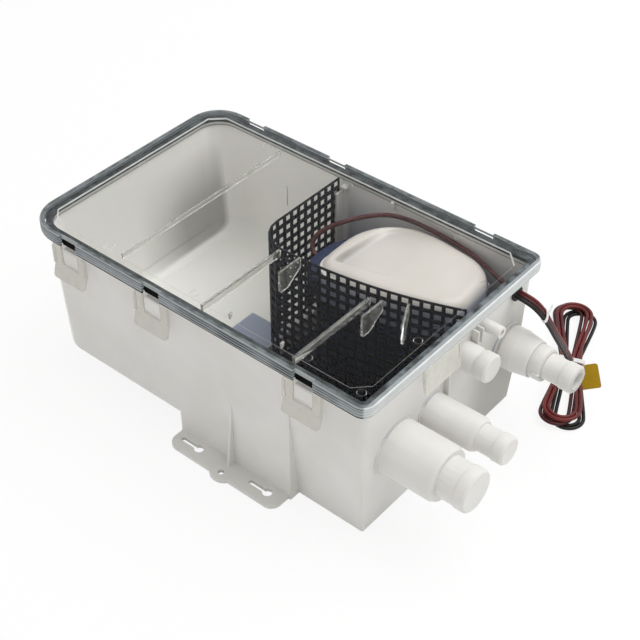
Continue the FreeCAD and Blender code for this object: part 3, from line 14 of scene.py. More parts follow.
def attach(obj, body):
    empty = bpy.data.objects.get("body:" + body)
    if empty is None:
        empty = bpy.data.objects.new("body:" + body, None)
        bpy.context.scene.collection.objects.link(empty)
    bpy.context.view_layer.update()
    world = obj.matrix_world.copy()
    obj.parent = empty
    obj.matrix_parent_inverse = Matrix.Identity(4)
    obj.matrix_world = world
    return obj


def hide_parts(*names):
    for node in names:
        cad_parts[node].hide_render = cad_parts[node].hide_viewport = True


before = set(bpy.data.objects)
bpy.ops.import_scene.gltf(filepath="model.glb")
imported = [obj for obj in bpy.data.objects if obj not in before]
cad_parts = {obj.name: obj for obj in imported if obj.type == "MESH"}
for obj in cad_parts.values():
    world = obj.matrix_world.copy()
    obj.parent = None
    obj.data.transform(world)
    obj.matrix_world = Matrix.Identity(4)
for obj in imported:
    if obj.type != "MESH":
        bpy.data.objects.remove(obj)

log = logging.getLogger("sump_pump")

Colour = tuple[float, float, float]
Place = tuple[float, float, float]
Flat = tuple[float, float]
Span = tuple[float, float]
Value = NodeSocket | float | Colour

QUARTER = math.pi / 2
LATCH_X = (-0.109, -0.029, 0.103)
# Most values of a noise lie in this span.
NOISE_SPAN = (0.35, 0.65)
# Pieces that hang from a surface start this far below it.
HANG = 0.00002


def shade(red: int, green: int, blue: int) -> Colour:
    """Turns a colour as seen on a screen, 0 to 255, into the renderer's own values.

    Args:
        red: The red share.
        green: The green share.
        blue: The blue share.

    Returns:
        The colour as three linear values.
    """
    return tuple(
        c / 12.92 if c <= 0.04045 else ((c + 0.055) / 1.055) ** 2.4
        for c in (red / 255, green / 255, blue / 255)
    )


class Nodes:
    """A node tree, with short calls for the nodes that finishes and surroundings use."""

    def __init__(self, owner: Material | World) -> None:
        """Empties the owner's node tree.

        Args:
            owner: The material or the surroundings that the tree belongs to.
        """
        owner.use_nodes = True
        self.owner = owner
        self.tree = owner.node_tree
        self.tree.nodes.clear()

    def feed(self, socket: NodeSocket, value: Value) -> None:
        """Links a value to a socket, or sets it there as a constant.

        Args:
            socket: The input.
            value: Another node's output, a number or a colour.
        """
        if isinstance(value, NodeSocket):
            self.tree.links.new(value, socket)
        elif socket.type == "RGBA":
            socket.default_value = (*value, 1.0)
        else:
            socket.default_value = value

    def add(self, kind: str, values: dict[str | int, Value], **settings: str) -> Node:
        """Adds a node.

        Args:
            kind: The node's kind, as Blender names it.
            values: What goes into its sockets, by name or number.
            settings: Its other settings.

        Returns:
            The node.
        """
        node = self.tree.nodes.new(kind)
        for name, value in settings.items():
            setattr(node, name, value)
        for socket, value in values.items():
            self.feed(node.inputs[socket], value)
        return node

    def maths(self, operation: str, first: NodeSocket, second: NodeSocket | float = 0.0) -> NodeSocket:
        """Combines two values with one arithmetic operation."""
        return self.add("ShaderNodeMath", {0: first, 1: second}, operation=operation).outputs[0]

    def product(self, first: NodeSocket, *others: NodeSocket | float) -> NodeSocket:
        """Multiplies values with each other.

        Args:
            first: The first value.
            others: The values it is multiplied with.

        Returns:
            The product.
        """
        for other in others:
            first = self.maths("MULTIPLY", first, other)
        return first

    def mixed(self, share: NodeSocket, first: NodeSocket, second: NodeSocket) -> NodeSocket:
        """Mixes two surfaces or surroundings by a share."""
        return self.add("ShaderNodeMixShader", {0: share, 1: first, 2: second}).outputs[0]

    def any_ray(self, *kinds: str) -> NodeSocket:
        """Gives 1 for rays of the named kinds.

        Args:
            kinds: The kinds, such as Camera or Glossy.

        Returns:
            The share, 0 or 1.
        """
        path = self.add("ShaderNodeLightPath", {}).outputs
        share = path[f"Is {kinds[0]} Ray"]
        for kind in kinds[1:]:
            share = self.maths("MAXIMUM", share, path[f"Is {kind} Ray"])
        return share


class Shader(Nodes):
    """The node tree of one material, built round a principled surface."""

    def __init__(self, name: str) -> None:
        """Starts the material with its surface and object coordinates.

        Args:
            name: The material's name.
        """
        super().__init__(bpy.data.materials.new(name))
        self.surface = self.add("ShaderNodeBsdfPrincipled", {})
        self.output = self.add("ShaderNodeOutputMaterial", {"Surface": self.surface.outputs[0]})
        self.place = self.add("ShaderNodeTexCoord", {}).outputs["Object"]

    def set(self, socket: str, value: Value) -> None:
        """Sets or links one of the surface's own sockets."""
        self.feed(self.surface.inputs[socket], value)

    def noise(self, scale: float, detail: float, stretch: Place = (1.0, 1.0, 1.0)) -> NodeSocket:
        """Makes a noise over the object's own space.

        Args:
            scale: Features per metre.
            detail: How many finer layers are added.
            stretch: How each axis is scaled first.

        Returns:
            The noise's value, about 0.3 to 0.7.
        """
        mapped = self.add("ShaderNodeMapping", {"Vector": self.place, "Scale": stretch}).outputs[0]
        values = {"Vector": mapped, "Scale": scale, "Detail": detail}
        return self.add("ShaderNodeTexNoise", values).outputs["Fac"]

    def spread(
        self, value: NodeSocket, low: float, high: float, out_low: float = 0.0, out_high: float = 1.0
    ) -> NodeSocket:
        """Maps a value from one span to another, held at the ends."""
        values = {"Value": value, "From Min": low, "From Max": high, "To Min": out_low, "To Max": out_high}
        return self.add("ShaderNodeMapRange", values).outputs["Result"]

    def blend(self, share: NodeSocket, first: Value, second: Value) -> NodeSocket:
        """Mixes two colours by a share."""
        return self.add("ShaderNodeMix", {"Factor": share, 6: first, 7: second}, data_type="RGBA").outputs[2]

    def glaze(self, share: NodeSocket, colour: Value) -> None:
        """Lays a colour over what the surface has so far, by a share."""
        so_far = self.surface.inputs["Base Color"].links[0].from_socket
        self.set("Base Color", self.blend(share, so_far, colour))

    def axes(self, vector: NodeSocket) -> dict[str, NodeSocket]:
        """Splits a vector into its X, Y and Z."""
        return {socket.name: socket for socket in self.add("ShaderNodeSeparateXYZ", {0: vector}).outputs}

    def facing(self) -> dict[str, NodeSocket]:
        """Gives the surface's direction by axis."""
        return self.axes(self.add("ShaderNodeNewGeometry", {}).outputs["Normal"])

    def bump(self, height: NodeSocket, strength: float, depth: float) -> None:
        """Roughens the normal by a height, whose full step has a depth in metres."""
        values = {"Height": height, "Strength": strength, "Distance": depth}
        self.set("Normal", self.add("ShaderNodeBump", values).outputs[0])


@dataclass(frozen=True)
class Moulded:
    """A moulded, rubbed or turned surface: patches of tone, fine grain and scuffs."""

    name: str
    light: Colour
    dark: Colour
    roughness: float
    patches: float = 26.0
    grain: float = 1100.0
    grain_depth: float = 0.00003
    grain_strength: float = 0.5
    scuffs: float = 0.06
    scuff_scale: float = 156.0
    scuff_span: Span = (0.42, 0.72)
    metal: float = 0.0
    shine: float = 0.5
    soft_light: float = 0.0
    soft_depth: float = 0.004

    def shader(self) -> Shader:
        """Builds the node tree.

        Returns:
            The shader, ready for more nodes.
        """
        s = Shader(self.name)
        tone = s.spread(s.noise(self.patches, detail=5.0), *NOISE_SPAN)
        s.set("Base Color", s.blend(tone, self.light, self.dark))
        scuffs = s.noise(self.scuff_scale, detail=6.0, stretch=(1.0, 1.0, 0.25))
        s.set("Roughness", s.spread(scuffs, *self.scuff_span, self.roughness, self.roughness + self.scuffs))
        s.bump(s.noise(self.grain, detail=2.0), self.grain_strength, self.grain_depth)
        s.set("Metallic", self.metal)
        s.set("Specular IOR Level", self.shine)
        if self.soft_light > 0:
            s.set("Subsurface Weight", self.soft_light)
            s.set("Subsurface Scale", self.soft_depth)
        return s

    def material(self) -> Material:
        """Returns the finished material."""
        return self.shader().owner


@dataclass(frozen=True)
class TubPlastic:
    """The tub's white plastic, with painted bluish shade and a painted reflection of the pump's dark body in
    its well, and painted light and shade on the shelf and end wall.
    """

    light: Colour = shade(225, 224, 221)
    dark: Colour = shade(218, 217, 213)
    # Painted shade, bluish in the well and darker deep down, with the pump's dark body reflected there as a
    # painted reflection.
    wall_painted_shade: Colour = shade(112, 118, 146)
    deep_painted_shade: Colour = shade(30, 38, 58)
    # Painted bluish shade on a patch of the shelf floor beside the screen.
    patch_painted_shade: Colour = shade(140, 150, 174)
    # Painted light on the shelf inside the tub.
    shelf_painted_light: Colour = shade(245, 244, 239)
    # Painted shade on the end wall, low down under the ports.
    recess_painted_shade: Colour = shade(176, 175, 170)
    inside_y: Span = (0.0920, 0.0915)
    inside_x: Span = (0.1478, 0.1473)
    well_x: Span = (-0.0140, -0.0110)
    shelf_x: Span = (-0.0140, -0.0240)
    well_shade_z: Span = (0.113, 0.050)
    deep_z: Span = (0.060, 0.022)
    side_lean: Span = (-0.01, -0.03)
    end_lean: Span = (-0.5, -0.8)
    full_lean: Span = (0.6, 0.8)
    recess_y: Span = (-0.005, 0.045)
    recess_z: Span = (0.105, 0.055)
    patch_x: Span = (-0.0480, -0.0145)
    patch_y: Span = (-0.0905, 0.0200)
    patch_z: Span = (0.0230, 0.0225)
    patch_edge: float = 0.0012
    patch_strength: float = 0.9

    def material(self) -> Material:
        """Builds the material.

        Returns:
            White plastic, with each painted light and shade on its own faces only.
        """
        s = Moulded(
            "tub_plastic", self.light, self.dark, 0.4, grain_depth=0.00002, soft_light=0.05, shine=0.3
        ).shader()
        place = s.axes(s.place)
        normal = s.facing()
        beside = s.spread(s.maths("ABSOLUTE", place["Y"]), *self.inside_y)
        within = s.product(beside, s.spread(place["X"], *self.inside_x))
        side_wall = s.spread(s.product(normal["Y"], place["Y"]), *self.side_lean)
        end_wall = s.spread(normal["X"], *self.end_lean)
        level = s.spread(normal["Z"], *self.full_lean)
        inner = s.maths("MAXIMUM", s.maths("MAXIMUM", side_wall, end_wall), level)
        inner = s.product(inner, within, s.spread(place["X"], *self.well_x))
        # Painted light on the shelf.
        s.glaze(s.product(within, s.spread(place["X"], *self.shelf_x)), self.shelf_painted_light)
        # Painted shade on the end wall under the ports.
        port_end = s.product(s.spread(normal["X"], *self.full_lean), s.spread(place["Y"], *self.recess_y))
        s.glaze(s.product(port_end, s.spread(place["Z"], *self.recess_z)), self.recess_painted_shade)
        # Painted shade on the shelf patch.
        s.glaze(self.patch_shade_share(s, place, level), self.patch_painted_shade)
        # Painted shade in the well, bluish on the walls and darker deep down.
        s.glaze(s.product(inner, s.spread(place["Z"], *self.well_shade_z)), self.wall_painted_shade)
        s.glaze(s.product(inner, s.spread(place["Z"], *self.deep_z)), self.deep_painted_shade)
        return s.owner

    def patch_shade_share(self, s: Shader, place: dict[str, NodeSocket], level: NodeSocket) -> NodeSocket:
        """Gives the share of the painted bluish shade on the shelf's floor, beside the screen.

        Args:
            s: The shader that takes the nodes.
            place: The object coordinates by axis.
            level: 1 on faces that look up.

        Returns:
            The painted shade's strength on the patch, 0 off it.
        """
        share = level
        for axis, (low, high) in (("X", self.patch_x), ("Y", self.patch_y)):
            share = s.product(
                share,
                s.spread(place[axis], low - self.patch_edge, low),
                s.spread(place[axis], high + self.patch_edge, high),
            )
        return s.product(share, s.spread(place["Z"], *self.patch_z, 0.0, self.patch_strength))


@dataclass(frozen=True)
class ClearPlastic:
    """Clear or frosted moulded plastic that lets the lamps reach what is behind it."""

    name: str
    tint: Colour
    haze: float
    frost: float = 0.0
    frost_tint: Colour = shade(214, 212, 206)
    shine: float = 0.1
    bend: float = 1.3
    lamp_share: Colour = (0.95, 0.95, 0.95)
    mottle_tint: Colour | None = None
    mottle_span: Span = (0.4, 0.62)
    bands: tuple[tuple[float, Colour], ...] = ()
    band_edge: float = 0.0003
    band_waver: float = 0.0004
    # Painted light: the frosted share turns paler towards the port end.
    port_painted_light: Colour | None = None
    port_light_x: Span = (0.1490, 0.1500)
    port_light_share: float = 0.85
    ripple: float = 0.15
    ripple_depth: float = 0.0002
    haze_span: Span = (0.45, 0.75)
    haze_more: float = 0.05
    frost_span: Span = (0.3, 0.7)
    frost_vary: float = 0.06

    def milk(self, s: Shader) -> NodeSocket:
        """Gives the colour of the frosted share.

        Args:
            s: The shader that takes the nodes.

        Returns:
            The colour, mottled or in bands by height, and paler at the port end as painted light.
        """
        mottle = s.spread(s.noise(scale=150.0, detail=5.0), *self.mottle_span)
        colour = s.blend(mottle, self.frost_tint, self.mottle_tint or self.frost_tint)
        place = s.axes(s.place)
        if self.bands:
            waver = s.noise(scale=24.0, detail=3.0, stretch=(1.0, 1.0, 0.1))
            waver = s.spread(waver, *NOISE_SPAN, -self.band_waver, self.band_waver)
            height = s.maths("ADD", place["Z"], waver)
            for level, tint in self.bands:
                colour = s.blend(s.spread(height, level + self.band_edge, level), colour, tint)
        # Painted light at the port end.
        if self.port_painted_light:
            share = s.spread(place["X"], *self.port_light_x, 0.0, self.port_light_share)
            colour = s.blend(share, colour, self.port_painted_light)
        return colour

    def material(self) -> Material:
        """Builds the material.

        Returns:
            Bending, glossy plastic, mixed with a milky share where it is frosted, and
            see-through for shadow and diffuse rays.
        """
        s = Shader(self.name)
        s.set("Base Color", self.tint)
        s.set("Transmission Weight", 1.0)
        s.set("IOR", self.bend)
        s.set("Specular IOR Level", self.shine)
        scuffs = s.noise(scale=70.0, detail=6.0, stretch=(1.0, 0.4, 1.0))
        s.set("Roughness", s.spread(scuffs, *self.haze_span, self.haze, self.haze + self.haze_more))
        s.bump(s.noise(scale=35.0, detail=2.0), self.ripple, self.ripple_depth)
        seen = s.surface.outputs[0]
        if self.frost > 0:
            milky = s.add("ShaderNodeBsdfDiffuse", {"Color": self.milk(s)}).outputs[0]
            low = self.frost - self.frost_vary
            high = self.frost + self.frost_vary
            share = s.spread(s.noise(scale=120.0, detail=4.0), *self.frost_span, low, high)
            seen = s.mixed(share, seen, milky)
        clear = s.add("ShaderNodeBsdfTransparent", {"Color": self.lamp_share}).outputs[0]
        s.feed(s.output.inputs["Surface"], s.mixed(s.any_ray("Shadow", "Diffuse"), seen, clear))
        return s.owner


@dataclass(frozen=True)
class TrimRubber:
    """The trim's grey rubber: streaked along its top, lighter at the port end as painted light, black on its
    legs, pale on the inner ones.
    """

    light: Colour = shade(84, 89, 90)
    dark: Colour = shade(44, 48, 49)
    leg: Colour = shade(14, 14, 15)
    inner_leg: Colour = shade(196, 196, 191)
    # Painted light: the top is lighter at the port end.
    port: Colour = shade(124, 132, 138)
    mottle_span: Span = (0.38, 0.64)
    leg_z: Span = (0.1224, 0.1221)
    pale_z: Span = (0.1199, 0.1201)
    inner_y: Span = (0.0914, 0.0912)
    inner_x: Span = (-0.1459, -0.1457)
    port_light_x: Span = (0.1385, 0.1425)
    port_light_share: float = 0.8

    def material(self) -> Material:
        """Builds the material.

        Returns:
            Rubber with long soft streaks, painted light at the port end and dark or pale legs.
        """
        s = Moulded("trim_rubber", self.dark, self.dark, 0.5, grain_depth=0.00005, shine=0.2).shader()
        place = s.axes(s.place)
        streaks = s.noise(scale=170.0, detail=6.0, stretch=(0.7, 0.7, 1.0))
        mottle = s.spread(streaks, *self.mottle_span)
        # Painted light, lighter towards the port end.
        lit_at_ports = s.spread(place["X"], *self.port_light_x, 0.0, self.port_light_share)
        s.set("Base Color", s.blend(mottle, self.dark, s.blend(lit_at_ports, self.light, self.port)))
        inner = s.product(
            s.spread(s.maths("ABSOLUTE", place["Y"]), *self.inner_y),
            s.spread(place["X"], *self.inner_x),
            s.spread(place["Z"], *self.pale_z),
        )
        s.glaze(s.spread(place["Z"], *self.leg_z), s.blend(inner, self.leg, self.inner_leg))
        return s.owner


@dataclass(frozen=True)
class CoverPlastic:
    """The pump cover's warm white plastic, with painted shade and a painted bluish reflection of the dark
    body low on its sides.
    """

    light: Colour = shade(219, 213, 206)
    dark: Colour = shade(212, 206, 198)
    # Painted shade with a painted bluish reflection of the dark body, low on the sides.
    side: Colour = shade(150, 158, 176)
    # Painted shade on the sunk face's wall beside the nose.
    nose_shade: Colour = shade(150, 147, 140)
    side_shade_z: Span = (0.1098, 0.1010)
    nose_shade_lean: Span = (0.06, 0.5)
    nose_shade_x: Span = (0.052, 0.042)
    nose_shade_y: Span = (0.066, 0.030)
    nose_shade_strength: float = 0.9

    def material(self) -> Material:
        """Builds the material.

        Returns:
            Warm white plastic with painted bluish shade low down and painted shade on the sunk face's wall
            beside the nose.
        """
        s = Moulded("cover_plastic", self.light, self.dark, 0.34, grain_depth=0.00002).shader()
        place = s.axes(s.place)
        # Painted shade on the wall of the sunk face, beside the nose.
        lean = s.spread(s.facing()["X"], *self.nose_shade_lean, 0.0, self.nose_shade_strength)
        nose_shade = s.product(lean, s.spread(place["X"], *self.nose_shade_x), s.spread(place["Y"], *self.nose_shade_y))
        s.glaze(nose_shade, self.nose_shade)
        # Painted shade and bluish reflection low on the sides.
        s.glaze(s.spread(place["Z"], *self.side_shade_z), self.side)
        return s.owner


class Finish(Enum):
    """Every finish on the pump, named by its slot of the record and, after a blank, its kind."""

    TUB = "white_plastic"
    CLEAR = "clear_plastic"
    FROSTED = "clear_plastic frosted"
    RIM = "clear_plastic rim"
    RIB = "clear_plastic rib"
    SKIRT = "clear_plastic skirt"
    PANEL_EDGE = "clear_plastic panel edge"
    LEDGE = "clear_plastic ledge"
    GRIP = "clear_plastic grip"
    LIP = "grey_rubber lip"
    PALE_RUBBER = "black_rubber pale"
    TRIM = "grey_rubber"
    SCREEN = "screen_plastic"
    COVER = "cover_plastic"
    NAVY = "navy_plastic"
    RUBBER = "black_rubber"
    STEEL = "steel"
    FERRITE = "ferrite"
    BRONZE = "bronze"
    FLOAT = "float_plastic"
    BLACK_WIRE = "black_wire"
    BROWN_WIRE = "brown_wire"
    RED_WIRE = "red_wire"
    TIE = "tie_plastic"
    CARD = "tag_card"

    def slot(self) -> str:
        """Gives the record's material slot."""
        return self.value.split()[0]


EDGE_PLASTIC = ClearPlastic(
    "clear_edge_plastic", shade(225, 230, 233), 0.08, frost=0.9, shine=0.35, bend=1.35
)
FINISHES = {
    Finish.TUB: TubPlastic(),
    Finish.CLEAR: ClearPlastic("clear_lid_plastic", shade(250, 251, 251), 0.012, bend=1.13),
    Finish.RIM: replace(
        EDGE_PLASTIC, name="clear_rim_plastic", frost_tint=shade(128, 134, 136),
        mottle_tint=shade(96, 101, 103), port_painted_light=shade(190, 197, 201), port_light_share=0.5,
    ),
    Finish.SKIRT: replace(
        EDGE_PLASTIC, name="clear_skirt_plastic", frost_tint=shade(138, 144, 147),
        port_painted_light=shade(206, 210, 209),
        bands=(
            (0.1272, shade(66, 70, 72)), (0.1263, shade(150, 156, 160)), (0.1250, shade(70, 74, 77)),
            (0.1242, shade(158, 164, 168)), (0.1228, shade(60, 64, 67)), (0.1220, shade(164, 169, 171)),
            (0.1208, shade(62, 66, 68)),
        ),
    ),
    Finish.LEDGE: replace(
        EDGE_PLASTIC, name="clear_ledge_plastic", frost=0.85, frost_tint=shade(164, 169, 170),
        port_painted_light=shade(238, 240, 240),
    ),
    Finish.PANEL_EDGE: ClearPlastic(
        "clear_panel_edge", shade(240, 242, 242), 0.05, frost=0.7, frost_tint=shade(236, 238, 236), shine=0.5,
    ),
    Finish.GRIP: ClearPlastic(
        "clear_grip_plastic", shade(244, 244, 240), 0.2, frost=0.5, frost_tint=shade(222, 221, 214),
        shine=0.3, bend=1.12, ripple=0.03,
    ),
    Finish.FROSTED: ClearPlastic(
        "frosted_plastic", shade(240, 239, 235), 0.15, frost=0.6, shine=0.15, bend=1.12
    ),
    Finish.RIB: ClearPlastic(
        "clear_rib_plastic", shade(250, 250, 247), 0.02, frost=0.07, frost_tint=shade(236, 235, 224),
        shine=0.6, bend=1.4, ripple=0.03,
    ),
    Finish.TRIM: TrimRubber(),
    Finish.COVER: CoverPlastic(),
    # Near-black rubber for the lips, which also stands in for the shade in the gap behind each latch.
    Finish.LIP: Moulded("lip_rubber", shade(6, 6, 7), shade(3, 3, 4), 0.7, shine=0.05),
    Finish.PALE_RUBBER: Moulded("pale_rubber", shade(206, 205, 201), shade(196, 195, 190), 0.6, shine=0.2),
    Finish.SCREEN: Moulded("screen_plastic", shade(24, 25, 31), shade(16, 18, 25), 0.55, shine=0.15),
    Finish.NAVY: Moulded("navy_plastic", shade(30, 41, 74), shade(22, 31, 58), 0.42, shine=0.25),
    Finish.RUBBER: Moulded("black_rubber", shade(26, 26, 27), shade(18, 18, 19), 0.6),
    Finish.STEEL: Moulded(
        "plated_steel", shade(176, 178, 180), shade(160, 162, 165), 0.28, grain=3000.0, metal=1.0
    ),
    Finish.FERRITE: Moulded("ferrite", shade(52, 52, 54), shade(42, 42, 45), 0.55, grain=2500.0),
    Finish.BRONZE: Moulded(
        "bronze", shade(178, 128, 78), shade(160, 110, 64), 0.35, grain=2600.0, metal=1.0
    ),
    Finish.FLOAT: Moulded("float_foam", shade(226, 220, 196), shade(212, 204, 180), 0.6, grain=1800.0),
    Finish.BLACK_WIRE: Moulded("black_insulation", shade(20, 16, 17), shade(11, 9, 10), 0.4, shine=0.3),
    Finish.BROWN_WIRE: Moulded("brown_insulation", shade(74, 27, 27), shade(52, 18, 21), 0.4, shine=0.3),
    Finish.RED_WIRE: Moulded("red_insulation", shade(108, 36, 33), shade(84, 26, 26), 0.4, shine=0.3),
    Finish.TIE: Moulded("tie_nylon", shade(226, 226, 224), shade(214, 214, 211), 0.4, soft_light=0.2),
    Finish.CARD: Moulded(
        "tag_card", shade(158, 126, 14), shade(142, 112, 8), 0.55, grain=1600.0, shine=0.1
    ),
}


class Palette:
    """The materials, each built once when it is first asked for."""

    def __init__(self) -> None:
        """Starts with no material built."""
        self.built: dict[Finish, Material] = {}

    def get(self, finish: Finish) -> Material:
        """Gives the material of a finish.

        Args:
            finish: Which finish.

        Returns:
            Its material.
        """
        if finish not in self.built:
            self.built[finish] = FINISHES[finish].material()
        return self.built[finish]


palette = Palette()


def dress(piece: Object, finish: Finish, body: str, *nodes: str) -> Object:
    """Gives a new piece its finish and its body, and puts it in the place of CAD nodes.

    Args:
        piece: The new object.
        finish: Its finish.
        body: The body it moves with.
        nodes: The nodes it stands for.

    Returns:
        The piece.
    """
    piece.data.materials.clear()
    piece.data.materials.append(palette.get(finish))
    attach(piece, body)
    if nodes:
        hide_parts(*nodes)
    log.info("%s rides on %s with %s", piece.name, body, finish.value)
    return piece


def smooth_share(value: float, low: float, high: float) -> float:
    """Gives 0 up to low, 1 from high on and a soft rise between."""
    held = min(max((value - low) / (high - low), 0.0), 1.0)
    return held * held * (3.0 - 2.0 * held)


def linked(name: str, data: Mesh | Curve | Light | Camera) -> Object:
    """Makes an object of some data and puts it in the scene.

    Args:
        name: The object's name.
        data: Its mesh, curve, lamp or camera.

    Returns:
        The object.
    """
    piece = bpy.data.objects.new(name, data)
    bpy.context.scene.collection.objects.link(piece)
    return piece


def piece_from(name: str, work: BMesh, crease: float = 35.0) -> Object:
    """Turns worked mesh into an object with smooth faces and sharp creases.

    Args:
        name: The object's name.
        work: The mesh, which is freed.
        crease: The angle in degrees above which an edge stays sharp.

    Returns:
        The object, linked to the scene.
    """
    mesh = bpy.data.meshes.new(name)
    bmesh.ops.recalc_face_normals(work, faces=work.faces)
    work.to_mesh(mesh)
    work.free()
    mesh.shade_smooth()
    mesh.set_sharp_from_angle(angle=math.radians(crease))
    return linked(name, mesh)


def bridge(work: BMesh, before: Sequence[BMVert], after: Sequence[BMVert]) -> list[BMFace]:
    """Fills the strip between two closed loops of equally many points.

    Args:
        work: The mesh.
        before: The first loop.
        after: The second loop.

    Returns:
        The new faces in order.
    """
    faces = []
    for number in range(len(before)):
        following = (number + 1) % len(before)
        faces.append(work.faces.new((before[number], before[following], after[following], after[number])))
    return faces


def add_prism(work: BMesh, points: Sequence[Vector], direction: Vector) -> None:
    """Adds a closed prism to a mesh.

    Args:
        work: The mesh.
        points: The prism's flat outline in order.
        direction: How far and where its other end lies.
    """
    low = [work.verts.new(point) for point in points]
    high = [work.verts.new(point + direction) for point in points]
    work.faces.new(low)
    work.faces.new(high)
    bridge(work, low, high)


def prisms(name: str, shapes: Sequence[tuple[Sequence[Vector], Vector]]) -> Object:
    """Makes one object from closed prisms.

    Args:
        name: The object's name.
        shapes: Each prism's outline and direction.

    Returns:
        The object.
    """
    work = bmesh.new()
    for points, direction in shapes:
        add_prism(work, points, direction)
    return piece_from(name, work)


def profile_x(x: float, width: float, profile: Sequence[Flat]) -> tuple[list[Vector], Vector]:
    """Gives the prism that runs along x from a profile of y and z pairs."""
    return [Vector((x, y, z)) for y, z in profile], Vector((width, 0.0, 0.0))


def profile_y(y: float, width: float, profile: Sequence[Flat]) -> tuple[list[Vector], Vector]:
    """Gives the prism that runs along y from a profile of x and z pairs."""
    return [Vector((x, y, z)) for x, z in profile], Vector((0.0, width, 0.0))


def round_edges(piece: Object, width: float, angle: float = 50.0, segments: int = 2) -> Object:
    """Rounds a piece's sharp edges a little, as a mould or a punch leaves them.

    Args:
        piece: The object.
        width: The rounding in metres.
        angle: Edges that turn more than this are rounded.
        segments: How many faces make the rounding.

    Returns:
        The same object.
    """
    weld = piece.modifiers.new("weld", "WELD")
    weld.merge_threshold = 0.000002
    bevel = piece.modifiers.new("round", "BEVEL")
    bevel.width = width
    bevel.segments = segments
    bevel.limit_method = "ANGLE"
    bevel.angle_limit = math.radians(angle)
    bevel.use_clamp_overlap = True
    bevel.harden_normals = True
    return piece


def cord_curve(name: str, diameter: float, points: Sequence[Vector]) -> Object:
    """Makes a round cord along a smooth line.

    Args:
        name: The object's name.
        diameter: The cord's thickness.
        points: The line's control points.

    Returns:
        The curve object, with its control points as given.
    """
    curve = bpy.data.curves.new(name, "CURVE")
    curve.dimensions = "3D"
    curve.bevel_depth = diameter / 2
    curve.bevel_resolution = 5
    curve.use_fill_caps = True
    spline = curve.splines.new("NURBS")
    spline.points.add(len(points) - 1)
    for target, place in zip(spline.points, points):
        target.co = (*place, 1.0)
    spline.order_u = 3
    spline.use_endpoint_u = True
    spline.resolution_u = 8
    return linked(name, curve)


def direction_at(angle: float) -> Vector:
    """Gives the flat direction at an angle from +x."""
    return Vector((math.cos(angle), math.sin(angle)))


@dataclass(frozen=True)
class Lobe:
    """One end of the hank: where its loops turn, and how each wire's loops lie there."""

    centre: Flat
    radii: tuple[Flat, ...]
    leans: tuple[float, ...]
    shifts: tuple[float, ...]


@dataclass
class WireHank:
    """The hank on the floor: each wire passes its waist five times and turns in two lobes."""

    waist: Flat = (0.1635, 0.1400)
    turned: float = 20.0
    columns: tuple[float, ...] = (0.0, -0.0032, 0.0032, -0.0064, 0.0064)
    rows: tuple[float, ...] = (0.00275, 0.0057, 0.00865)
    layers: tuple[float, ...] = (0.0015, 0.0044, 0.0073)
    far: Lobe = Lobe(
        (0.136, 0.190), ((0.0090, 0.0122), (0.0090, 0.0122), (0.0100, 0.0132)),
        (-4.0, 3.6, 0.6), (0.0, 0.0026, 0.0002),
    )
    near: Lobe = Lobe(
        (0.184, 0.096), ((0.0086, 0.0116), (0.0086, 0.0116), (0.0098, 0.0128)),
        (4.6, -4.4, -0.6), (0.0030, 0.0034, 0.0),
    )
    first_angle: float = 105.0
    step_angle: float = 35.0
    loop_points: int = 7
    loop_fill: float = 0.955
    ease: float = 0.45
    tail: float = 0.012
    tail_more: float = 0.004

    def waist_point(self, turn: int, wire: int) -> Vector:
        """Gives the place of one pass of a wire through the waist."""
        flat = Vector(self.waist) + direction_at(math.radians(self.turned)) * self.columns[turn]
        return Vector((*flat, self.rows[wire]))

    def loop(self, lobe: Lobe, turn: int, wire: int, start: Vector, end: Vector) -> list[Vector]:
        """Gives the points of one loop, from the waist round a lobe and back.

        Args:
            lobe: The lobe it turns in.
            turn: The number of the pass before it.
            wire: The wire's number.
            start: Where it leaves the waist.
            end: Where it comes back to the waist.

        Returns:
            The points between start and end.
        """
        middle = Vector(self.waist)
        axis = (Vector(lobe.centre) - middle).normalized()
        reach = (Vector(lobe.centre) - middle).length + lobe.shifts[wire]
        axis = Matrix.Rotation(math.radians(lobe.leans[wire]), 2) @ axis
        aside = Vector((axis.y, -axis.x))
        across = direction_at(math.radians(self.turned))
        if aside.dot(across) < 0:
            aside = -aside
        side = 1 if (start.xy - end.xy).dot(across) > 0 else -1
        radius = lobe.radii[wire][0 if turn < 2 else 1] / self.loop_fill
        centre = middle + axis * reach
        around = []
        for step in range(self.loop_points):
            angle = math.radians(self.first_angle - self.step_angle * step) * side
            flat = centre + axis * (radius * math.cos(angle)) + aside * (radius * math.sin(angle))
            around.append(Vector((*flat, self.layers[wire])))
        return [start.lerp(around[0], self.ease), *around, end.lerp(around[-1], self.ease)]

    def points(self, wire: int) -> list[Vector]:
        """Gives every point of one wire from its first pass to its bare end.

        Args:
            wire: 0 for black, 1 for brown, 2 for red.

        Returns:
            The points in order.
        """
        passes = [self.waist_point(turn, wire) for turn in range(len(self.columns))]
        line = [passes[0]]
        for turn, (start, end) in enumerate(zip(passes, passes[1:])):
            lobe = self.far if turn % 2 == 0 else self.near
            line += [*self.loop(lobe, turn, wire, start, end), end]
        axis = (Vector(self.far.centre) - Vector(self.waist)).normalized()
        line.append(passes[-1] + axis.to_3d() * (self.tail + self.tail_more * wire))
        return line


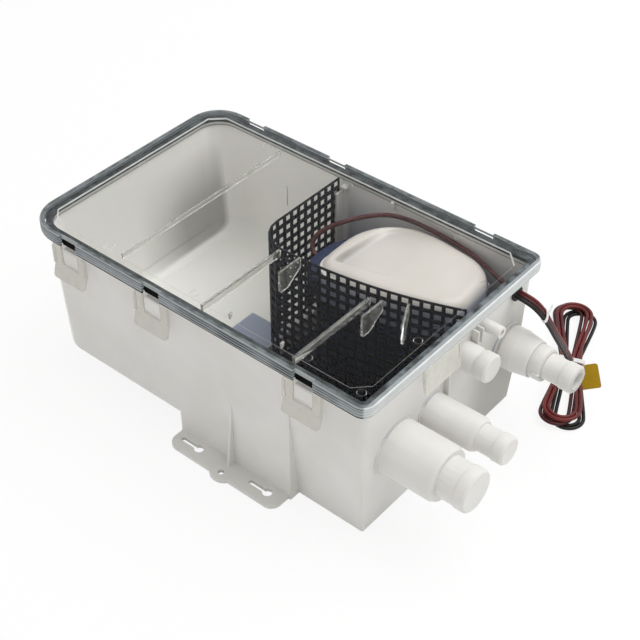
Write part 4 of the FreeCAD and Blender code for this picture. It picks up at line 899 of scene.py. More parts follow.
@dataclass
class WireLeads:
    """The wires: three outside, from the grommet to the hank, and the pump's lead inside."""

    wire_diameter: float = 0.0028
    lead_diameter: float = 0.0034
    spacing: float = 0.003
    outer_length: float = 0.72
    inner_length: float = 0.198
    middle_route: tuple[Place, ...] = (
        (0.1497, 0.0720, 0.1105), (0.1605, 0.0718, 0.1103), (0.1670, 0.0770, 0.1010),
        (0.1692, 0.0840, 0.0885), (0.1705, 0.0910, 0.0760), (0.1713, 0.0990, 0.0630),
        (0.1710, 0.1085, 0.0495), (0.1695, 0.1180, 0.0360), (0.1680, 0.1280, 0.0225),
    )
    first_asides: tuple[Place, ...] = ((0.0, 1.0, 0.0), (-0.2, 0.97, 0.1), (-0.38, 0.88, 0.28))
    aside: Place = (-0.5, 0.77, 0.39)
    inner_route: tuple[Place, ...] = (
        (0.0260, 0.0300, 0.0925), (0.0080, 0.0295, 0.0945), (0.0005, 0.0315, 0.1015),
        (0.0010, 0.0375, 0.1085), (0.0055, 0.0460, 0.1125), (0.0135, 0.0565, 0.1155),
        (0.0225, 0.0685, 0.1173), (0.0340, 0.0795, 0.1178), (0.0490, 0.0846, 0.1168),
        (0.0640, 0.0864, 0.1152), (0.0820, 0.0870, 0.1136), (0.1030, 0.0862, 0.1118),
        (0.1240, 0.0795, 0.1106), (0.1433, 0.0720, 0.1105),
    )

    def route(self, side: int) -> list[Vector]:
        """Gives the points of one outer wire down to the hank.

        Args:
            side: -1 for black, 0 for brown, 1 for red.

        Returns:
            The points in order.
        """
        later = len(self.middle_route) - len(self.first_asides)
        asides = (*self.first_asides, *[self.aside] * later)
        return [
            Vector(place) + Vector(aside) * (self.spacing * side)
            for place, aside in zip(self.middle_route, asides)
        ]

    def build(self) -> None:
        """Makes the four cords and dresses each one."""
        hank = WireHank()
        wires = (("black", Finish.BLACK_WIRE), ("brown", Finish.BROWN_WIRE), ("red", Finish.RED_WIRE))
        for number, (colour, finish) in enumerate(wires):
            points = self.route(number - 1) + hank.points(number)
            cord = cord_curve(f"wire_{colour}_cord", self.wire_diameter, points)
            dress(cord, finish, "sump", f"wire_{colour}", "wire_hank")
        points = [Vector(place) for place in self.inner_route]
        lead = cord_curve("pump_cable_cord", self.lead_diameter, points)
        dress(lead, Finish.BROWN_WIRE, "sump", "pump_cable")


@dataclass
class WireTie:
    """The slim tie round the three wires under the lid's edge, with its short tail."""

    above: Place = WireLeads.middle_route[2]
    below: Place = WireLeads.middle_route[3]
    aside: Place = WireLeads.aside
    down: float = 0.005
    inner: Flat = (0.0046, 0.0016)
    band: float = 0.0009
    width: float = 0.0026
    tail: Place = (0.0075, 0.0018, 0.0008)
    tail_lean: float = 0.4
    rounding: float = 0.0002
    around: int = 24

    def build(self) -> None:
        """Makes the band and its tail."""
        along = (Vector(self.below) - Vector(self.above)).normalized()
        across = Vector(self.aside)
        across = (across - along * across.dot(along)).normalized()
        outwards = along.cross(across)
        centre = Vector(self.above) + along * self.down
        work = bmesh.new()
        loops = []
        for grown, side in ((0.0, -0.5), (self.band, -0.5), (self.band, 0.5), (0.0, 0.5)):
            loop = []
            for part in range(self.around):
                turn = direction_at(2 * math.pi * part / self.around)
                place = centre + along * (side * self.width)
                place += across * ((self.inner[0] + grown) * turn.x)
                place += outwards * ((self.inner[1] + grown) * turn.y)
                loop.append(work.verts.new(place))
            loops.append(loop)
        for number, loop in enumerate(loops):
            bridge(work, loop, loops[(number + 1) % len(loops)])
        length, breadth, thickness = self.tail
        foot = centre + outwards * (self.inner[1] + self.band * self.tail_lean)
        points = []
        for run, rise in ((0, -0.5), (1, -0.5), (1, 0.5), (0, 0.5)):
            reach = (across + outwards * self.tail_lean) * (length * run)
            points.append(foot + reach + along * (breadth * rise))
        add_prism(work, points, outwards * thickness)
        tie = round_edges(piece_from("wire_tie_band", work), self.rounding)
        dress(tie, Finish.TIE, "sump", "wire_tie")


@dataclass
class FilterScreen:
    """The black screen: a bent sheet with a fine grid of square holes."""

    sheet: float = 0.0012
    pitch: float = 0.0075
    hole: float = 0.0051
    far: Flat = (-0.0200, 0.0884)
    bend_radius: float = 0.022
    long_y: float = -0.0034
    end: Flat = (0.1396, 0.0250)
    top: float = 0.1210
    bottom: float = 0.0034
    shelf_bottom: float = 0.0174
    shelf_end_x: float = -0.0095

    def straight(self) -> float:
        """Gives the length of the straight run."""
        return self.far[1] - self.long_y - self.bend_radius

    def wide_radius(self) -> float:
        """Gives the radius of the sheet's long curve."""
        rise = self.end[1] - self.long_y
        return (self.long_run() ** 2 + rise * rise) / (2 * rise)

    def long_run(self) -> float:
        """Gives how far the long curve runs along the tub."""
        return self.end[0] - self.far[0] - self.bend_radius

    def length(self) -> float:
        """Gives the whole length of the sheet's line."""
        sweep = math.asin(self.long_run() / self.wide_radius())
        return self.straight() + self.bend_radius * QUARTER + self.wide_radius() * sweep

    def place(self, run: float) -> Vector:
        """Gives the point of the sheet's line at a distance from its far end.

        Args:
            run: The distance along the line.

        Returns:
            The point in plan.
        """
        past_straight = run - self.straight()
        past_bend = past_straight - self.bend_radius * QUARTER
        if past_straight < 0:
            return Vector((self.far[0], self.far[1] - run))
        if past_bend < 0:
            radius = self.bend_radius
            angle = math.pi + past_straight / radius
        else:
            radius = self.wide_radius()
            angle = math.pi + QUARTER + past_bend / radius
        centre = Vector((self.far[0] + self.bend_radius, self.long_y + radius))
        return centre + direction_at(angle) * radius

    def build(self) -> None:
        """Makes the sheet, cell by cell, each with its hole."""
        work = bmesh.new()
        corners: dict[tuple[int, int], BMVert] = {}
        count = int(self.length() / self.pitch)
        width = self.length() / count
        rows = int((self.top - self.bottom) / self.pitch)
        drop = (self.top - self.bottom) / rows

        def corner(column: int, row: int) -> BMVert:
            """Gives the shared corner of four cells.

            Args:
                column: Its number along the sheet.
                row: Its number down the sheet.

            Returns:
                The corner's vertex.
            """
            if (column, row) not in corners:
                corners[column, row] = work.verts.new((*self.place(column * width), self.top - row * drop))
            return corners[column, row]

        for column in range(count):
            middle = (column + 0.5) * width
            on_shelf = self.place(middle).x < self.shelf_end_x
            for row in range(rows):
                level = self.top - (row + 0.5) * drop
                if on_shelf and level - drop / 2 < self.shelf_bottom:
                    continue
                outer = [corner(column + run, row + down) for run, down in ((0, 0), (1, 0), (1, 1), (0, 1))]
                inner = []
                for run, rise in ((-0.5, 0.5), (0.5, 0.5), (0.5, -0.5), (-0.5, -0.5)):
                    flat = self.place(middle + run * self.hole)
                    inner.append(work.verts.new((*flat, level + rise * self.hole)))
                bridge(work, outer, inner)
        screen = piece_from("filter_screen_sheet", work)
        thick = screen.modifiers.new("thickness", "SOLIDIFY")
        thick.thickness = self.sheet
        thick.offset = 0.0
        thick.use_even_offset = True
        dress(screen, Finish.SCREEN, "sump", "filter_screen")


def rounded_outline(
    corners: Sequence[Flat], radii: Sequence[float], arc_points: int, step: float
) -> list[Vector]:
    """Gives a closed outline with rounded corners, in even steps.

    Args:
        corners: The sharp corners in order, anticlockwise.
        radii: The rounding at each corner.
        arc_points: How many spans each corner's arc has.
        step: The longest span on the straight runs.

    Returns:
        The outline's points, once round.
    """
    count = len(corners)
    arcs = []
    for number in range(count):
        here = Vector(corners[number])
        before = (Vector(corners[number - 1]) - here).normalized()
        after = (Vector(corners[(number + 1) % count]) - here).normalized()
        half_angle = before.angle(after) / 2
        run = radii[number] / math.tan(half_angle)
        centre = here + (before + after).normalized() * (radii[number] / math.sin(half_angle))
        first = here + before * run - centre
        last = here + after * run - centre
        turn = first.angle_signed(last)
        arc = []
        for part in range(arc_points + 1):
            arc.append(centre + Matrix.Rotation(-turn * part / arc_points, 2) @ first)
        arcs.append(arc)
    outline = []
    for number, arc in enumerate(arcs):
        outline += arc
        following = arcs[(number + 1) % count][0]
        spans = max(1, math.ceil((following - arc[-1]).length / step))
        outline += [arc[-1].lerp(following, part / spans) for part in range(1, spans)]
    return outline


@dataclass(frozen=True)
class LidLoop:
    """One line of the lid's section, with its place in a latch's notch and the faces before it."""

    inset: float
    height: float
    notch_inset: float
    notch_height: float
    finish: Finish
    cut: bool = False


def even_loop(inset: float, height: float, finish: Finish, cut: bool = False) -> LidLoop:
    """Gives a loop that runs straight past the notches, with cut corners or rounded ones."""
    return LidLoop(inset, height, inset, height, finish, cut)


@dataclass
class ClearLid:
    """The clear lid: sunk panel with cut corners, raised rim, skirt, ribs, blades and grip."""

    half_length: float = 0.153
    half_width: float = 0.0985
    round_left: float = 0.026
    round_right: float = 0.009
    round_least: float = 0.001
    top: float = 0.1282
    under: float = 0.1252
    skirt_bottom: float = 0.1195
    skirt_wall: float = 0.002
    panel_inset: float = 0.0118
    panel_step: float = 0.001
    panel_chamfer: float = 0.010
    grooves: tuple[Flat, ...] = (
        (0.0, 0.1272), (0.0005, 0.1270), (0.0005, 0.1265), (0.0, 0.1262), (0.0, 0.1252), (0.0005, 0.1249),
        (0.0005, 0.1244), (0.0, 0.1241), (0.0, 0.1230), (0.0005, 0.1227), (0.0005, 0.1222), (0.0, 0.1219),
        (0.0, 0.1210), (0.0004, 0.1207), (0.0004, 0.1198),
    )
    notch_depth: float = 0.0026
    notch_face_top: float = 0.1271
    notch_face_low: float = 0.1260
    notch_half: float = 0.0081
    notch_side: float = 0.00015
    ledge_width: float = 0.0040
    arc_points: int = 10
    crease: float = 24.0
    mark_radius: float = 0.003
    mark_wire: float = 0.00014
    mark_sunk: float = 0.00004
    mark_around: int = 32
    mark_section: tuple[Flat, ...] = ((-1.0, 0.0), (0.0, -1.0), (1.0, 0.0), (0.0, 0.15))
    mark_crease: float = 60.0
    mark_places: tuple[Flat, ...] = (
        (-0.0852, -0.0805), (-0.0051, -0.0805), (0.0927, -0.0805), (0.1383, -0.0840), (0.1358, -0.0235),
        (-0.1380, 0.0033), (-0.0839, 0.0810), (-0.0051, 0.0810), (0.0927, 0.0810), (0.1358, 0.0500),
    )
    ribs: tuple[tuple[float, float, float, float, float], ...] = (
        (-0.0720, -0.0821, 0.0821, 0.0016, 0.0040),
        (0.0070, -0.0866, -0.0090, 0.0024, 0.0060),
        (0.0860, -0.0866, -0.0100, 0.0029, 0.0060),
    )
    rib_foot: Place = (0.62, 0.6, 0.5)
    rib_round: float = 0.0004
    blades: tuple[Place, ...] = ((0.0230, -0.0062, 0.0), (0.0940, -0.0062, 0.0), (0.1090, 0.0022, 27.0))
    blade_length: float = 0.022
    blade_foot: float = 0.008
    blade_depth: float = 0.018
    blade_thickness: float = 0.002
    blade_corner: float = 0.0012
    blade_back: float = 0.0015
    blade_round: float = 0.0005
    grip_low_y: float = -0.0386
    grip_high_y: float = -0.0006
    grip_bottom: float = 0.0990
    grip_knee: float = 0.006
    grip_flare: float = 0.002
    grip_thickness: float = 0.0018
    grip_rib: float = 0.002
    grip_rib_proud: float = 0.0014
    grip_lean: Flat = (0.0003, 0.0002)
    grip_rib_top: Flat = (-0.0004, 0.0008)
    grip_rib_foot: Flat = (0.0012, 0.0008)
    grip_rib_slopes: Flat = (0.004, 0.002)
    grip_round: float = 0.0004
    lug_places: tuple[Flat, ...] = ((0.0265, -0.0800), (0.0710, -0.0800))
    lug_size: Place = (0.0016, 0.0030, 0.0050)
    lug_taper: Flat = (0.0004, 0.0006)
    lug_far_share: float = 0.55
    lug_round: float = 0.0003

    def section(self) -> list[LidLoop]:
        """Gives the lid's section from the panel's middle, over the rim, to the underside.

        Returns:
            The loops in order, where the skirt's grooves lie on the notch's face at a latch.
        """
        edge = Finish.PANEL_EDGE
        skirt = Finish.SKIRT
        top = self.top
        under = self.under
        bottom = self.skirt_bottom
        inset = self.panel_inset
        wall = self.skirt_wall
        depth = self.notch_depth
        low = self.notch_face_low
        drop = (self.notch_face_top - low) / len(self.grooves)
        return [
            even_loop(inset + 0.0001, top - self.panel_step, Finish.CLEAR, True),
            even_loop(inset - 0.0001, top - self.panel_step + 0.0002, edge, True),
            even_loop(inset - 0.0002, top - 0.0002, edge, True),
            even_loop(inset - 0.0004, top, edge, True),
            even_loop(0.0036, top, Finish.CLEAR),
            LidLoop(0.0030, top - 0.0003, depth + 0.0008, top, Finish.RIM),
            LidLoop(0.0024, top - 0.0003, depth + 0.0005, top, Finish.RIM),
            LidLoop(0.0018, top, depth + 0.0003, top - 0.0001, Finish.RIM),
            LidLoop(0.0010, top, depth + 0.0001, top - 0.0003, Finish.RIM),
            LidLoop(0.0004, top - 0.0002, depth, top - 0.0006, Finish.LEDGE),
            LidLoop(0.0001, top - 0.0006, depth, top - 0.0009, Finish.LEDGE),
            *(
                LidLoop(groove, height, depth, self.notch_face_top - drop * number, skirt)
                for number, (groove, height) in enumerate(self.grooves)
            ),
            LidLoop(0.0006, bottom, depth, low, skirt),
            LidLoop(wall - 0.0003, bottom, depth, low - 0.0002, skirt),
            LidLoop(wall, bottom + 0.0003, depth, low - 0.0004, skirt),
            LidLoop(wall, under - 0.0003, depth, low - 0.0006, skirt),
            LidLoop(wall + 0.0003, under, depth + 0.0001, under, skirt),
            even_loop(0.0050, under, Finish.CLEAR),
            even_loop(0.0120, under, Finish.CLEAR, True),
        ]

    def side_points(self, loop: LidLoop, side_y: int) -> list[Vector]:
        """Gives a loop's points along a long side, with its steps into the notches.

        Args:
            loop: The loop.
            side_y: -1 on the near side, 1 on the far side.

        Returns:
            The points, anticlockwise.
        """
        points = []
        for x in LATCH_X:
            for share in (-1.0, -0.5, 0.0, 0.5, 1.0):
                y = (self.half_width - loop.notch_inset) * side_y
                points.append(Vector((x + self.notch_half * share, y, loop.notch_height)))
            for place, side_x in ((len(points) - 5, -1), (len(points) + 1, 1)):
                run = (self.notch_half + self.notch_side) * side_x
                y = (self.half_width - loop.inset) * side_y
                points.insert(place, Vector((x + run, y, loop.height)))
        return points if side_y < 0 else points[::-1]

    def corner(self, number: int, side_x: int, side_y: int, loop: LidLoop) -> list[Vector]:
        """Gives the points of one corner of a loop.

        Args:
            number: The corner's number, anticlockwise from the near blind one.
            side_x: -1 at the blind end, 1 at the port end.
            side_y: -1 on the near side, 1 on the far side.
            loop: The loop.

        Returns:
            The points in order.
        """
        spot = Vector(((self.half_length - loop.inset) * side_x, (self.half_width - loop.inset) * side_y))
        shares = [part / self.arc_points for part in range(self.arc_points + 1)]
        if loop.cut:
            first = spot - Vector((0.0, side_y * self.panel_chamfer))
            last = spot - Vector((side_x * self.panel_chamfer, 0.0))
            if side_x != side_y:
                first, last = last, first
            flats = [first.lerp(last, share) for share in shares]
        else:
            radius = (self.round_left if side_x < 0 else self.round_right) - loop.inset
            radius = max(radius, self.round_least)
            centre = spot - Vector((side_x, side_y)) * radius
            start = math.pi + number * QUARTER
            flats = [centre + direction_at(start + QUARTER * share) * radius for share in shares]
        return [Vector((*flat, loop.height)) for flat in flats]

    def outline(self, loop: LidLoop) -> list[Vector]:
        """Gives one loop of the lid's surface, always with the same number of points.

        Args:
            loop: The loop.

        Returns:
            The loop's points, anticlockwise from the blind end's near corner.
        """
        points = []
        for number, (side_x, side_y) in enumerate(((-1, -1), (1, -1), (1, 1), (-1, 1))):
            points += self.corner(number, side_x, side_y, loop)
            if side_x == side_y:
                points += self.side_points(loop, side_y)
        return points

    def over_latch(self, face: MeshPolygon) -> bool:
        """Tells whether a face belongs to the pale face of a latch's notch.

        Args:
            face: The face.

        Returns:
            Whether it does.
        """
        x, y, z = face.center
        beside = any(abs(x - latch) < self.notch_half for latch in LATCH_X)
        return beside and abs(y) > self.half_width - self.ledge_width and z > self.under

    def build_shell(self) -> None:
        """Makes panel, rim and skirt as one closed skin."""
        finishes = (Finish.CLEAR, Finish.PANEL_EDGE, Finish.RIM, Finish.LEDGE, Finish.SKIRT)
        work = bmesh.new()
        section = self.section()
        loops = [[work.verts.new(point) for point in self.outline(loop)] for loop in section]
        numbers = []
        for before, after, loop in zip(loops, loops[1:], section[1:]):
            numbers += [finishes.index(loop.finish)] * len(bridge(work, before, after))
        for cap in (loops[0], loops[-1][::-1]):
            work.faces.new(cap)
            numbers.append(0)
        shell = dress(piece_from("lid_shell", work, self.crease), Finish.CLEAR, "lid", "lid")
        for finish in finishes[1:]:
            shell.data.materials.append(palette.get(finish))
        for face, number in zip(shell.data.polygons, numbers):
            is_ledge = number > 1 and self.over_latch(face)
            face.material_index = finishes.index(Finish.LEDGE) if is_ledge else number

    def build_ribs(self) -> None:
        """Makes the cross ribs, thicker at the plate and with rounded feet."""
        narrowed, rise, flat = self.rib_foot
        top = self.under - HANG
        shapes = []
        for x, low_y, high_y, thickness, depth in self.ribs:
            half = thickness / 2
            foot = half * narrowed
            lowest = self.under - depth
            side = ((half, top), (foot, lowest + foot * rise), (foot * flat, lowest))
            profile = [(x - run, height) for run, height in side]
            profile += [(x + run, height) for run, height in side[::-1]]
            shapes.append(profile_y(low_y, high_y - low_y, profile))
        dress(round_edges(prisms("lid_ribs", shapes), self.rib_round), Finish.RIB, "lid", "lid")

    def build_blades(self) -> None:
        """Makes the blades that steady the screen."""
        top = self.under - HANG
        lowest = self.under - self.blade_depth
        halfway = self.under - self.blade_depth / 2
        corner = self.blade_corner
        profile = (
            (0.0, top), (-self.blade_length, top), (-self.blade_length, lowest + corner),
            (corner - self.blade_length, lowest), (self.blade_foot - self.blade_length, lowest),
            (-self.blade_back, halfway), (0.0, halfway + corner),
        )
        points, direction = profile_x(-self.blade_thickness / 2, self.blade_thickness, profile)
        shapes = []
        for x, y, turned in self.blades:
            turn = Matrix.Rotation(math.radians(turned), 3, "Z")
            shapes.append(([turn @ point + Vector((x, y, 0.0)) for point in points], turn @ direction))
        dress(round_edges(prisms("lid_blades", shapes), self.blade_round), Finish.RIB, "lid", "lid")

    def build_grip(self) -> None:
        """Makes the finger grip at the port end: a flared plate between two ribs."""
        face = self.half_length
        inner = face - self.skirt_wall
        outer = face + self.grip_flare
        top = self.skirt_bottom - HANG
        knee = top - self.grip_knee
        low = self.grip_bottom
        plate = (
            (inner, top), (face, top), (face + self.grip_lean[0], knee), (outer, low),
            (outer - self.grip_thickness, low), (inner + self.grip_lean[1], knee),
        )
        proud = face + self.grip_rib_proud
        rib = (
            (face + self.grip_rib_top[0], top), (face + self.grip_rib_top[1], top),
            (proud, top - self.grip_rib_slopes[0]), (proud, low + self.grip_rib_slopes[1]),
            (face + self.grip_rib_foot[0], low + self.grip_rib_foot[1]),
        )
        shapes = [profile_y(self.grip_low_y, self.grip_high_y - self.grip_low_y, plate)]
        for y in (self.grip_low_y, self.grip_high_y - self.grip_rib):
            shapes.append(profile_y(y, self.grip_rib, rib))
        dress(round_edges(prisms("lid_grip", shapes), self.grip_round), Finish.GRIP, "lid", "lid")

    def build_marks(self) -> None:
        """Makes the thin rings that the mould's pins leave on the plate's underside."""
        work = bmesh.new()
        for x, y in self.mark_places:
            loops = []
            for radial, height in self.mark_section:
                radius = self.mark_radius + self.mark_wire * radial
                level = self.under + self.mark_wire * height - self.mark_sunk
                loop = []
                for part in range(self.mark_around):
                    flat = Vector((x, y)) + direction_at(2 * math.pi * part / self.mark_around) * radius
                    loop.append(work.verts.new((*flat, level)))
                loops.append(loop)
            for number, loop in enumerate(loops):
                bridge(work, loop, loops[(number + 1) % len(loops)])
        dress(piece_from("lid_pin_marks", work, self.mark_crease), Finish.RIB, "lid", "lid")

    def build_lugs(self) -> None:
        """Makes the small lugs under the plate on the near side."""
        width, length, depth = self.lug_size
        top = self.under - HANG
        shapes = []
        for x, y in self.lug_places:
            near = y - length / 2
            far = y + length / 2
            profile = (
                (near, top), (far, top), (far - self.lug_taper[1], top - depth * self.lug_far_share),
                (near + self.lug_taper[0], top - depth),
            )
            shapes.append(profile_x(x - width / 2, width, profile))
        dress(round_edges(prisms("lid_lugs", shapes), self.lug_round), Finish.FROSTED, "lid", "lid")

    def build(self) -> None:
        """Makes every piece of the lid."""
        self.build_shell()
        self.build_ribs()
        self.build_blades()
        self.build_grip()
        self.build_marks()
        self.build_lugs()


@dataclass
class PumpCover:
    """The pump's white upper shell: crowned, rounded, with a sunk face behind its nose."""

    corners: tuple[Flat, ...] = (
        (0.0203, 0.0020), (0.0790, 0.0062), (0.1310, 0.0320), (0.1255, 0.0845), (0.0740, 0.0888),
        (0.0203, 0.0885),
    )
    radii: tuple[float, ...] = (0.017, 0.090, 0.020, 0.027, 0.060, 0.044)
    arc_points: int = 14
    step: float = 0.003
    top: float = 0.115
    bottom: float = 0.0848
    crown_radius: float = 0.420
    crown_centre: Flat = (0.076, 0.0460)
    edge_round: float = 0.0084
    near_round: float = 0.0060
    near_y: float = 0.030
    wall: float = 0.0024
    roof_drop: float = 0.0070
    rings: int = 54
    face_depth: float = 0.0048
    face_wall: float = 0.0060
    face_start: Flat = (0.0300, 0.0175)
    face_lean: Flat = (0.10, 0.16)
    face_corner: float = 1.25
    face_fade: Span = (0.0360, 0.0860)
    face_edge: Span = (0.0035, 0.0080)
    far_inside: float = 0.05
    crease: float = 50.0

    def height(self, place: Vector, edge: float) -> float:
        """Gives the top's height at a place.

        Args:
            place: The place in plan.
            edge: Its distance from the outline.

        Returns:
            The height.
        """
        flat = (place - Vector(self.crown_centre)).length
        height = self.top + math.sqrt(self.crown_radius**2 - flat * flat) - self.crown_radius
        rounding = self.edge_round + self.near_round * smooth_share(place.y, self.near_y, 0.0)
        if edge < rounding:
            lost = rounding - edge
            height -= rounding - math.sqrt(max(rounding**2 - lost * lost, 0.0))
        along = place.x - self.face_start[0] - self.face_lean[0] * (place.y - self.face_start[1])
        across = place.y - self.face_start[1] - self.face_lean[1] * (place.x - self.face_start[0])
        inside = min(along, across)
        if inside > 0:
            inside = along * across / math.hypot(along, across) * self.face_corner
        share = smooth_share(inside, 0.0, self.face_wall) * (1.0 - smooth_share(place.x, *self.face_fade))
        return height - self.face_depth * share * smooth_share(edge, *self.face_edge)

    def squareness(self, number: int, centre: Vector, outline: list[Vector]) -> float:
        """Gives how squarely the line from the centre meets the outline at a point.

        Args:
            number: The point's number.
            centre: The centre.
            outline: The outline's points.

        Returns:
            1 where they are square to each other, 0 where they run along each other.
        """
        tangent = (outline[(number + 1) % len(outline)] - outline[number - 1]).normalized()
        line = (outline[number] - centre).normalized()
        return abs(line.x * tangent.y - line.y * tangent.x)

    def build(self) -> None:
        """Makes the shell as a closed skin with its open underside turned in."""
        outline = rounded_outline(self.corners, self.radii, self.arc_points, self.step)
        centre = sum(outline, Vector((0.0, 0.0))) / len(outline)
        squares = [self.squareness(number, centre, outline) for number in range(len(outline))]
        work = bmesh.new()
        loops = []
        for ring in range(self.rings, 0, -1):
            loop = []
            for point, square in zip(outline, squares):
                place = centre.lerp(point, ring / self.rings)
                edge = (point - place).length * square
                loop.append(work.verts.new((*place, self.height(place, edge))))
            loops.append(loop)
        rim = [work.verts.new((*point, self.bottom)) for point in outline]
        inside = [point.lerp(centre, self.wall / (point - centre).length) for point in outline]
        inner = [work.verts.new((*place, self.bottom)) for place in inside]
        roof = [work.verts.new((*place, self.top - self.roof_drop)) for place in inside]
        skin = [roof, inner, rim, *loops]
        for before, after in zip(skin, skin[1:]):
            bridge(work, before, after)
        work.faces.new(roof)
        middle = work.verts.new((*centre, self.height(centre, self.far_inside)))
        last = loops[-1]
        for number, vertex in enumerate(last):
            work.faces.new((vertex, last[(number + 1) % len(last)], middle))
        dress(piece_from("pump_cover_shell", work, self.crease), Finish.COVER, "sump", "pump_cover")


@dataclass
class ShelfCove:
    """The hollow rounding between the shelf's floor and its walls, larger on the far side."""

    floor: float = 0.0190
    half_width: float = 0.0910
    blind_end: float = -0.1455
    draft_side: float = 0.0008
    draft_end: float = 0.0090
    tub_top: float = 0.1225
    corner: float = 0.0195
    end_x: float = -0.0165
    near_radius: float = 0.0070
    end_radius: float = 0.0110
    far_radius: float = 0.0150
    buried: float = 0.0004
    arc: int = 8
    straight_spans: int = 8
    bend_spans: int = 10
    crease: float = 60.0

    def straight(self, first: Vector, last: Vector, radius: float) -> list[tuple[Vector, Vector, float]]:
        """Gives the places along a straight wall, anticlockwise seen from below.

        Args:
            first: The wall's first end.
            last: Its last end.
            radius: The cove's radius there.

        Returns:
            Each place, its inward direction and the radius.
        """
        run = (last - first).normalized()
        inwards = Vector((run.y, -run.x))
        places = [first.lerp(last, part / self.straight_spans) for part in range(self.straight_spans + 1)]
        return [(place, inwards, radius) for place in places]

    def bend(self, centre: Vector, start: float, radii: Span) -> list[tuple[Vector, Vector, float]]:
        """Gives the places round a corner, without its ends.

        Args:
            centre: The middle of the corner's arc.
            start: The angle at which it starts.
            radii: The cove's radius before and after it.

        Returns:
            Each place, its inward direction and the radius there.
        """
        stations = []
        for part in range(1, self.bend_spans):
            share = part / self.bend_spans
            way = direction_at(start - QUARTER * share)
            radius = radii[0] + (radii[1] - radii[0]) * share
            stations.append((centre + way * self.corner, -way, radius))
        return stations

    def stations(self) -> list[tuple[Vector, Vector, float]]:
        """Gives places along the wall's foot, from the near step round to the far one.

        Returns:
            Each place, its inward direction and the cove's radius.
        """
        down = (self.tub_top - self.floor) / self.tub_top
        side = self.half_width - self.draft_side * down
        end = self.blind_end + self.draft_end * down
        left = end + self.corner
        turn = side - self.corner
        near = self.near_radius
        far = self.far_radius
        return [
            *self.straight(Vector((self.end_x, -side)), Vector((left, -side)), near),
            *self.bend(Vector((left, -turn)), math.pi + QUARTER, (near, self.end_radius)),
            *self.straight(Vector((end, -turn)), Vector((end, turn)), self.end_radius),
            *self.bend(Vector((left, turn)), math.pi, (self.end_radius, far)),
            *self.straight(Vector((left, side)), Vector((self.end_x, side)), far),
        ]

    def build(self) -> None:
        """Makes the cove as one closed strip."""
        work = bmesh.new()
        rows = []
        for place, inwards, radius in self.stations():
            lean = self.draft_side * radius / self.tub_top
            points = [(-self.buried, -self.buried)]
            for step in range(self.arc + 1):
                turn = direction_at(QUARTER * step / self.arc)
                points.append((radius * (1 - turn.x) - lean, radius * (1 - turn.y)))
            points[1] = (-self.buried, points[1][1])
            points[-1] = (points[-1][0], -self.buried)
            row = [(*(place + inwards * run), self.floor + rise) for run, rise in points]
            rows.append([work.verts.new(point) for point in row])
        for before, after in zip(rows, rows[1:]):
            bridge(work, before, after)
        work.faces.new(rows[0])
        work.faces.new(rows[-1][::-1])
        dress(piece_from("shelf_cove", work, self.crease), Finish.TUB, "sump")


@dataclass
class WallLugs:
    """Small moulded lugs and strips inside the tub's far wall."""

    wall_y: float = 0.0912
    foot: float = 0.0006
    upper_slope: float = 0.3
    rounding: float = 0.0004
    rounding_angle: float = 40.0
    lugs: tuple[tuple[float, float, float, float, float], ...] = (
        (-0.0735, 0.0690, 0.0880, 0.0014, 0.0008),
        (0.0290, 0.1130, 0.1215, 0.0026, 0.0026),
        (-0.0150, 0.1100, 0.1165, 0.0050, 0.0040),
    )

    def build(self) -> None:
        """Makes the lugs, each with its foot sunk a little in the wall."""
        shapes = []
        for x, low, high, width, proud in self.lugs:
            inner = self.wall_y - self.foot - proud
            upper = high - proud * self.upper_slope
            profile = ((self.wall_y, low), (inner, low + proud), (inner, upper), (self.wall_y, high))
            shapes.append(profile_x(x - width / 2, width, profile))
        lugs = round_edges(prisms("wall_lugs", shapes), self.rounding, self.rounding_angle)
        dress(lugs, Finish.TUB, "sump")


@dataclass
class TrimLipsAndGapShade:
    """The trim's black lips that hang down behind each latch, near black so that they also stand in for the
    shade in the gap there.
    """

    half_length: float = 0.0078
    side: float = 0.0944
    thickness: float = 0.0014
    top: float = 0.1242
    bottom: float = 0.1194
    outer_rise: float = 0.0006
    rounding: float = 0.0002

    def build(self) -> None:
        """Makes the six lips."""
        outer = self.side + self.thickness
        shapes = []
        for x in LATCH_X:
            for side in (-1, 1):
                profile = (
                    (side * self.side, self.top), (side * outer, self.top),
                    (side * outer, self.bottom + self.outer_rise), (side * self.side, self.bottom),
                )
                shapes.append(profile_x(x - self.half_length, 2 * self.half_length, profile))
        dress(round_edges(prisms("trim_lips_and_gap_shade", shapes), self.rounding), Finish.LIP, "sump")


@dataclass
class BodyShoulderAndShade:
    """The dark body's shoulder, which shows beside the cover's nose and also stands in for the dark shade
    there.
    """

    outline: tuple[Flat, ...] = (
        (0.0300, 0.0040), (0.0200, 0.0060), (0.0125, 0.0120), (0.0085, 0.0220), (0.0078, 0.0340),
        (0.0090, 0.0450), (0.0140, 0.0560), (0.0210, 0.0660), (0.0260, 0.0640), (0.0225, 0.0560),
        (0.0212, 0.0440), (0.0212, 0.0220), (0.0260, 0.0110), (0.0330, 0.0070),
    )
    bottom: float = 0.0850
    top: float = 0.1005
    rounding: float = 0.0018

    def build(self) -> None:
        """Makes the shoulder."""
        # The navy shoulder also stands in for the dark shade beside the nose.
        points = [Vector((x, y, self.bottom)) for x, y in self.outline]
        shoulder = prisms("body_shoulder_and_shade", [(points, Vector((0.0, 0.0, self.top - self.bottom)))])
        dress(round_edges(shoulder, self.rounding, segments=3), Finish.NAVY, "sump")


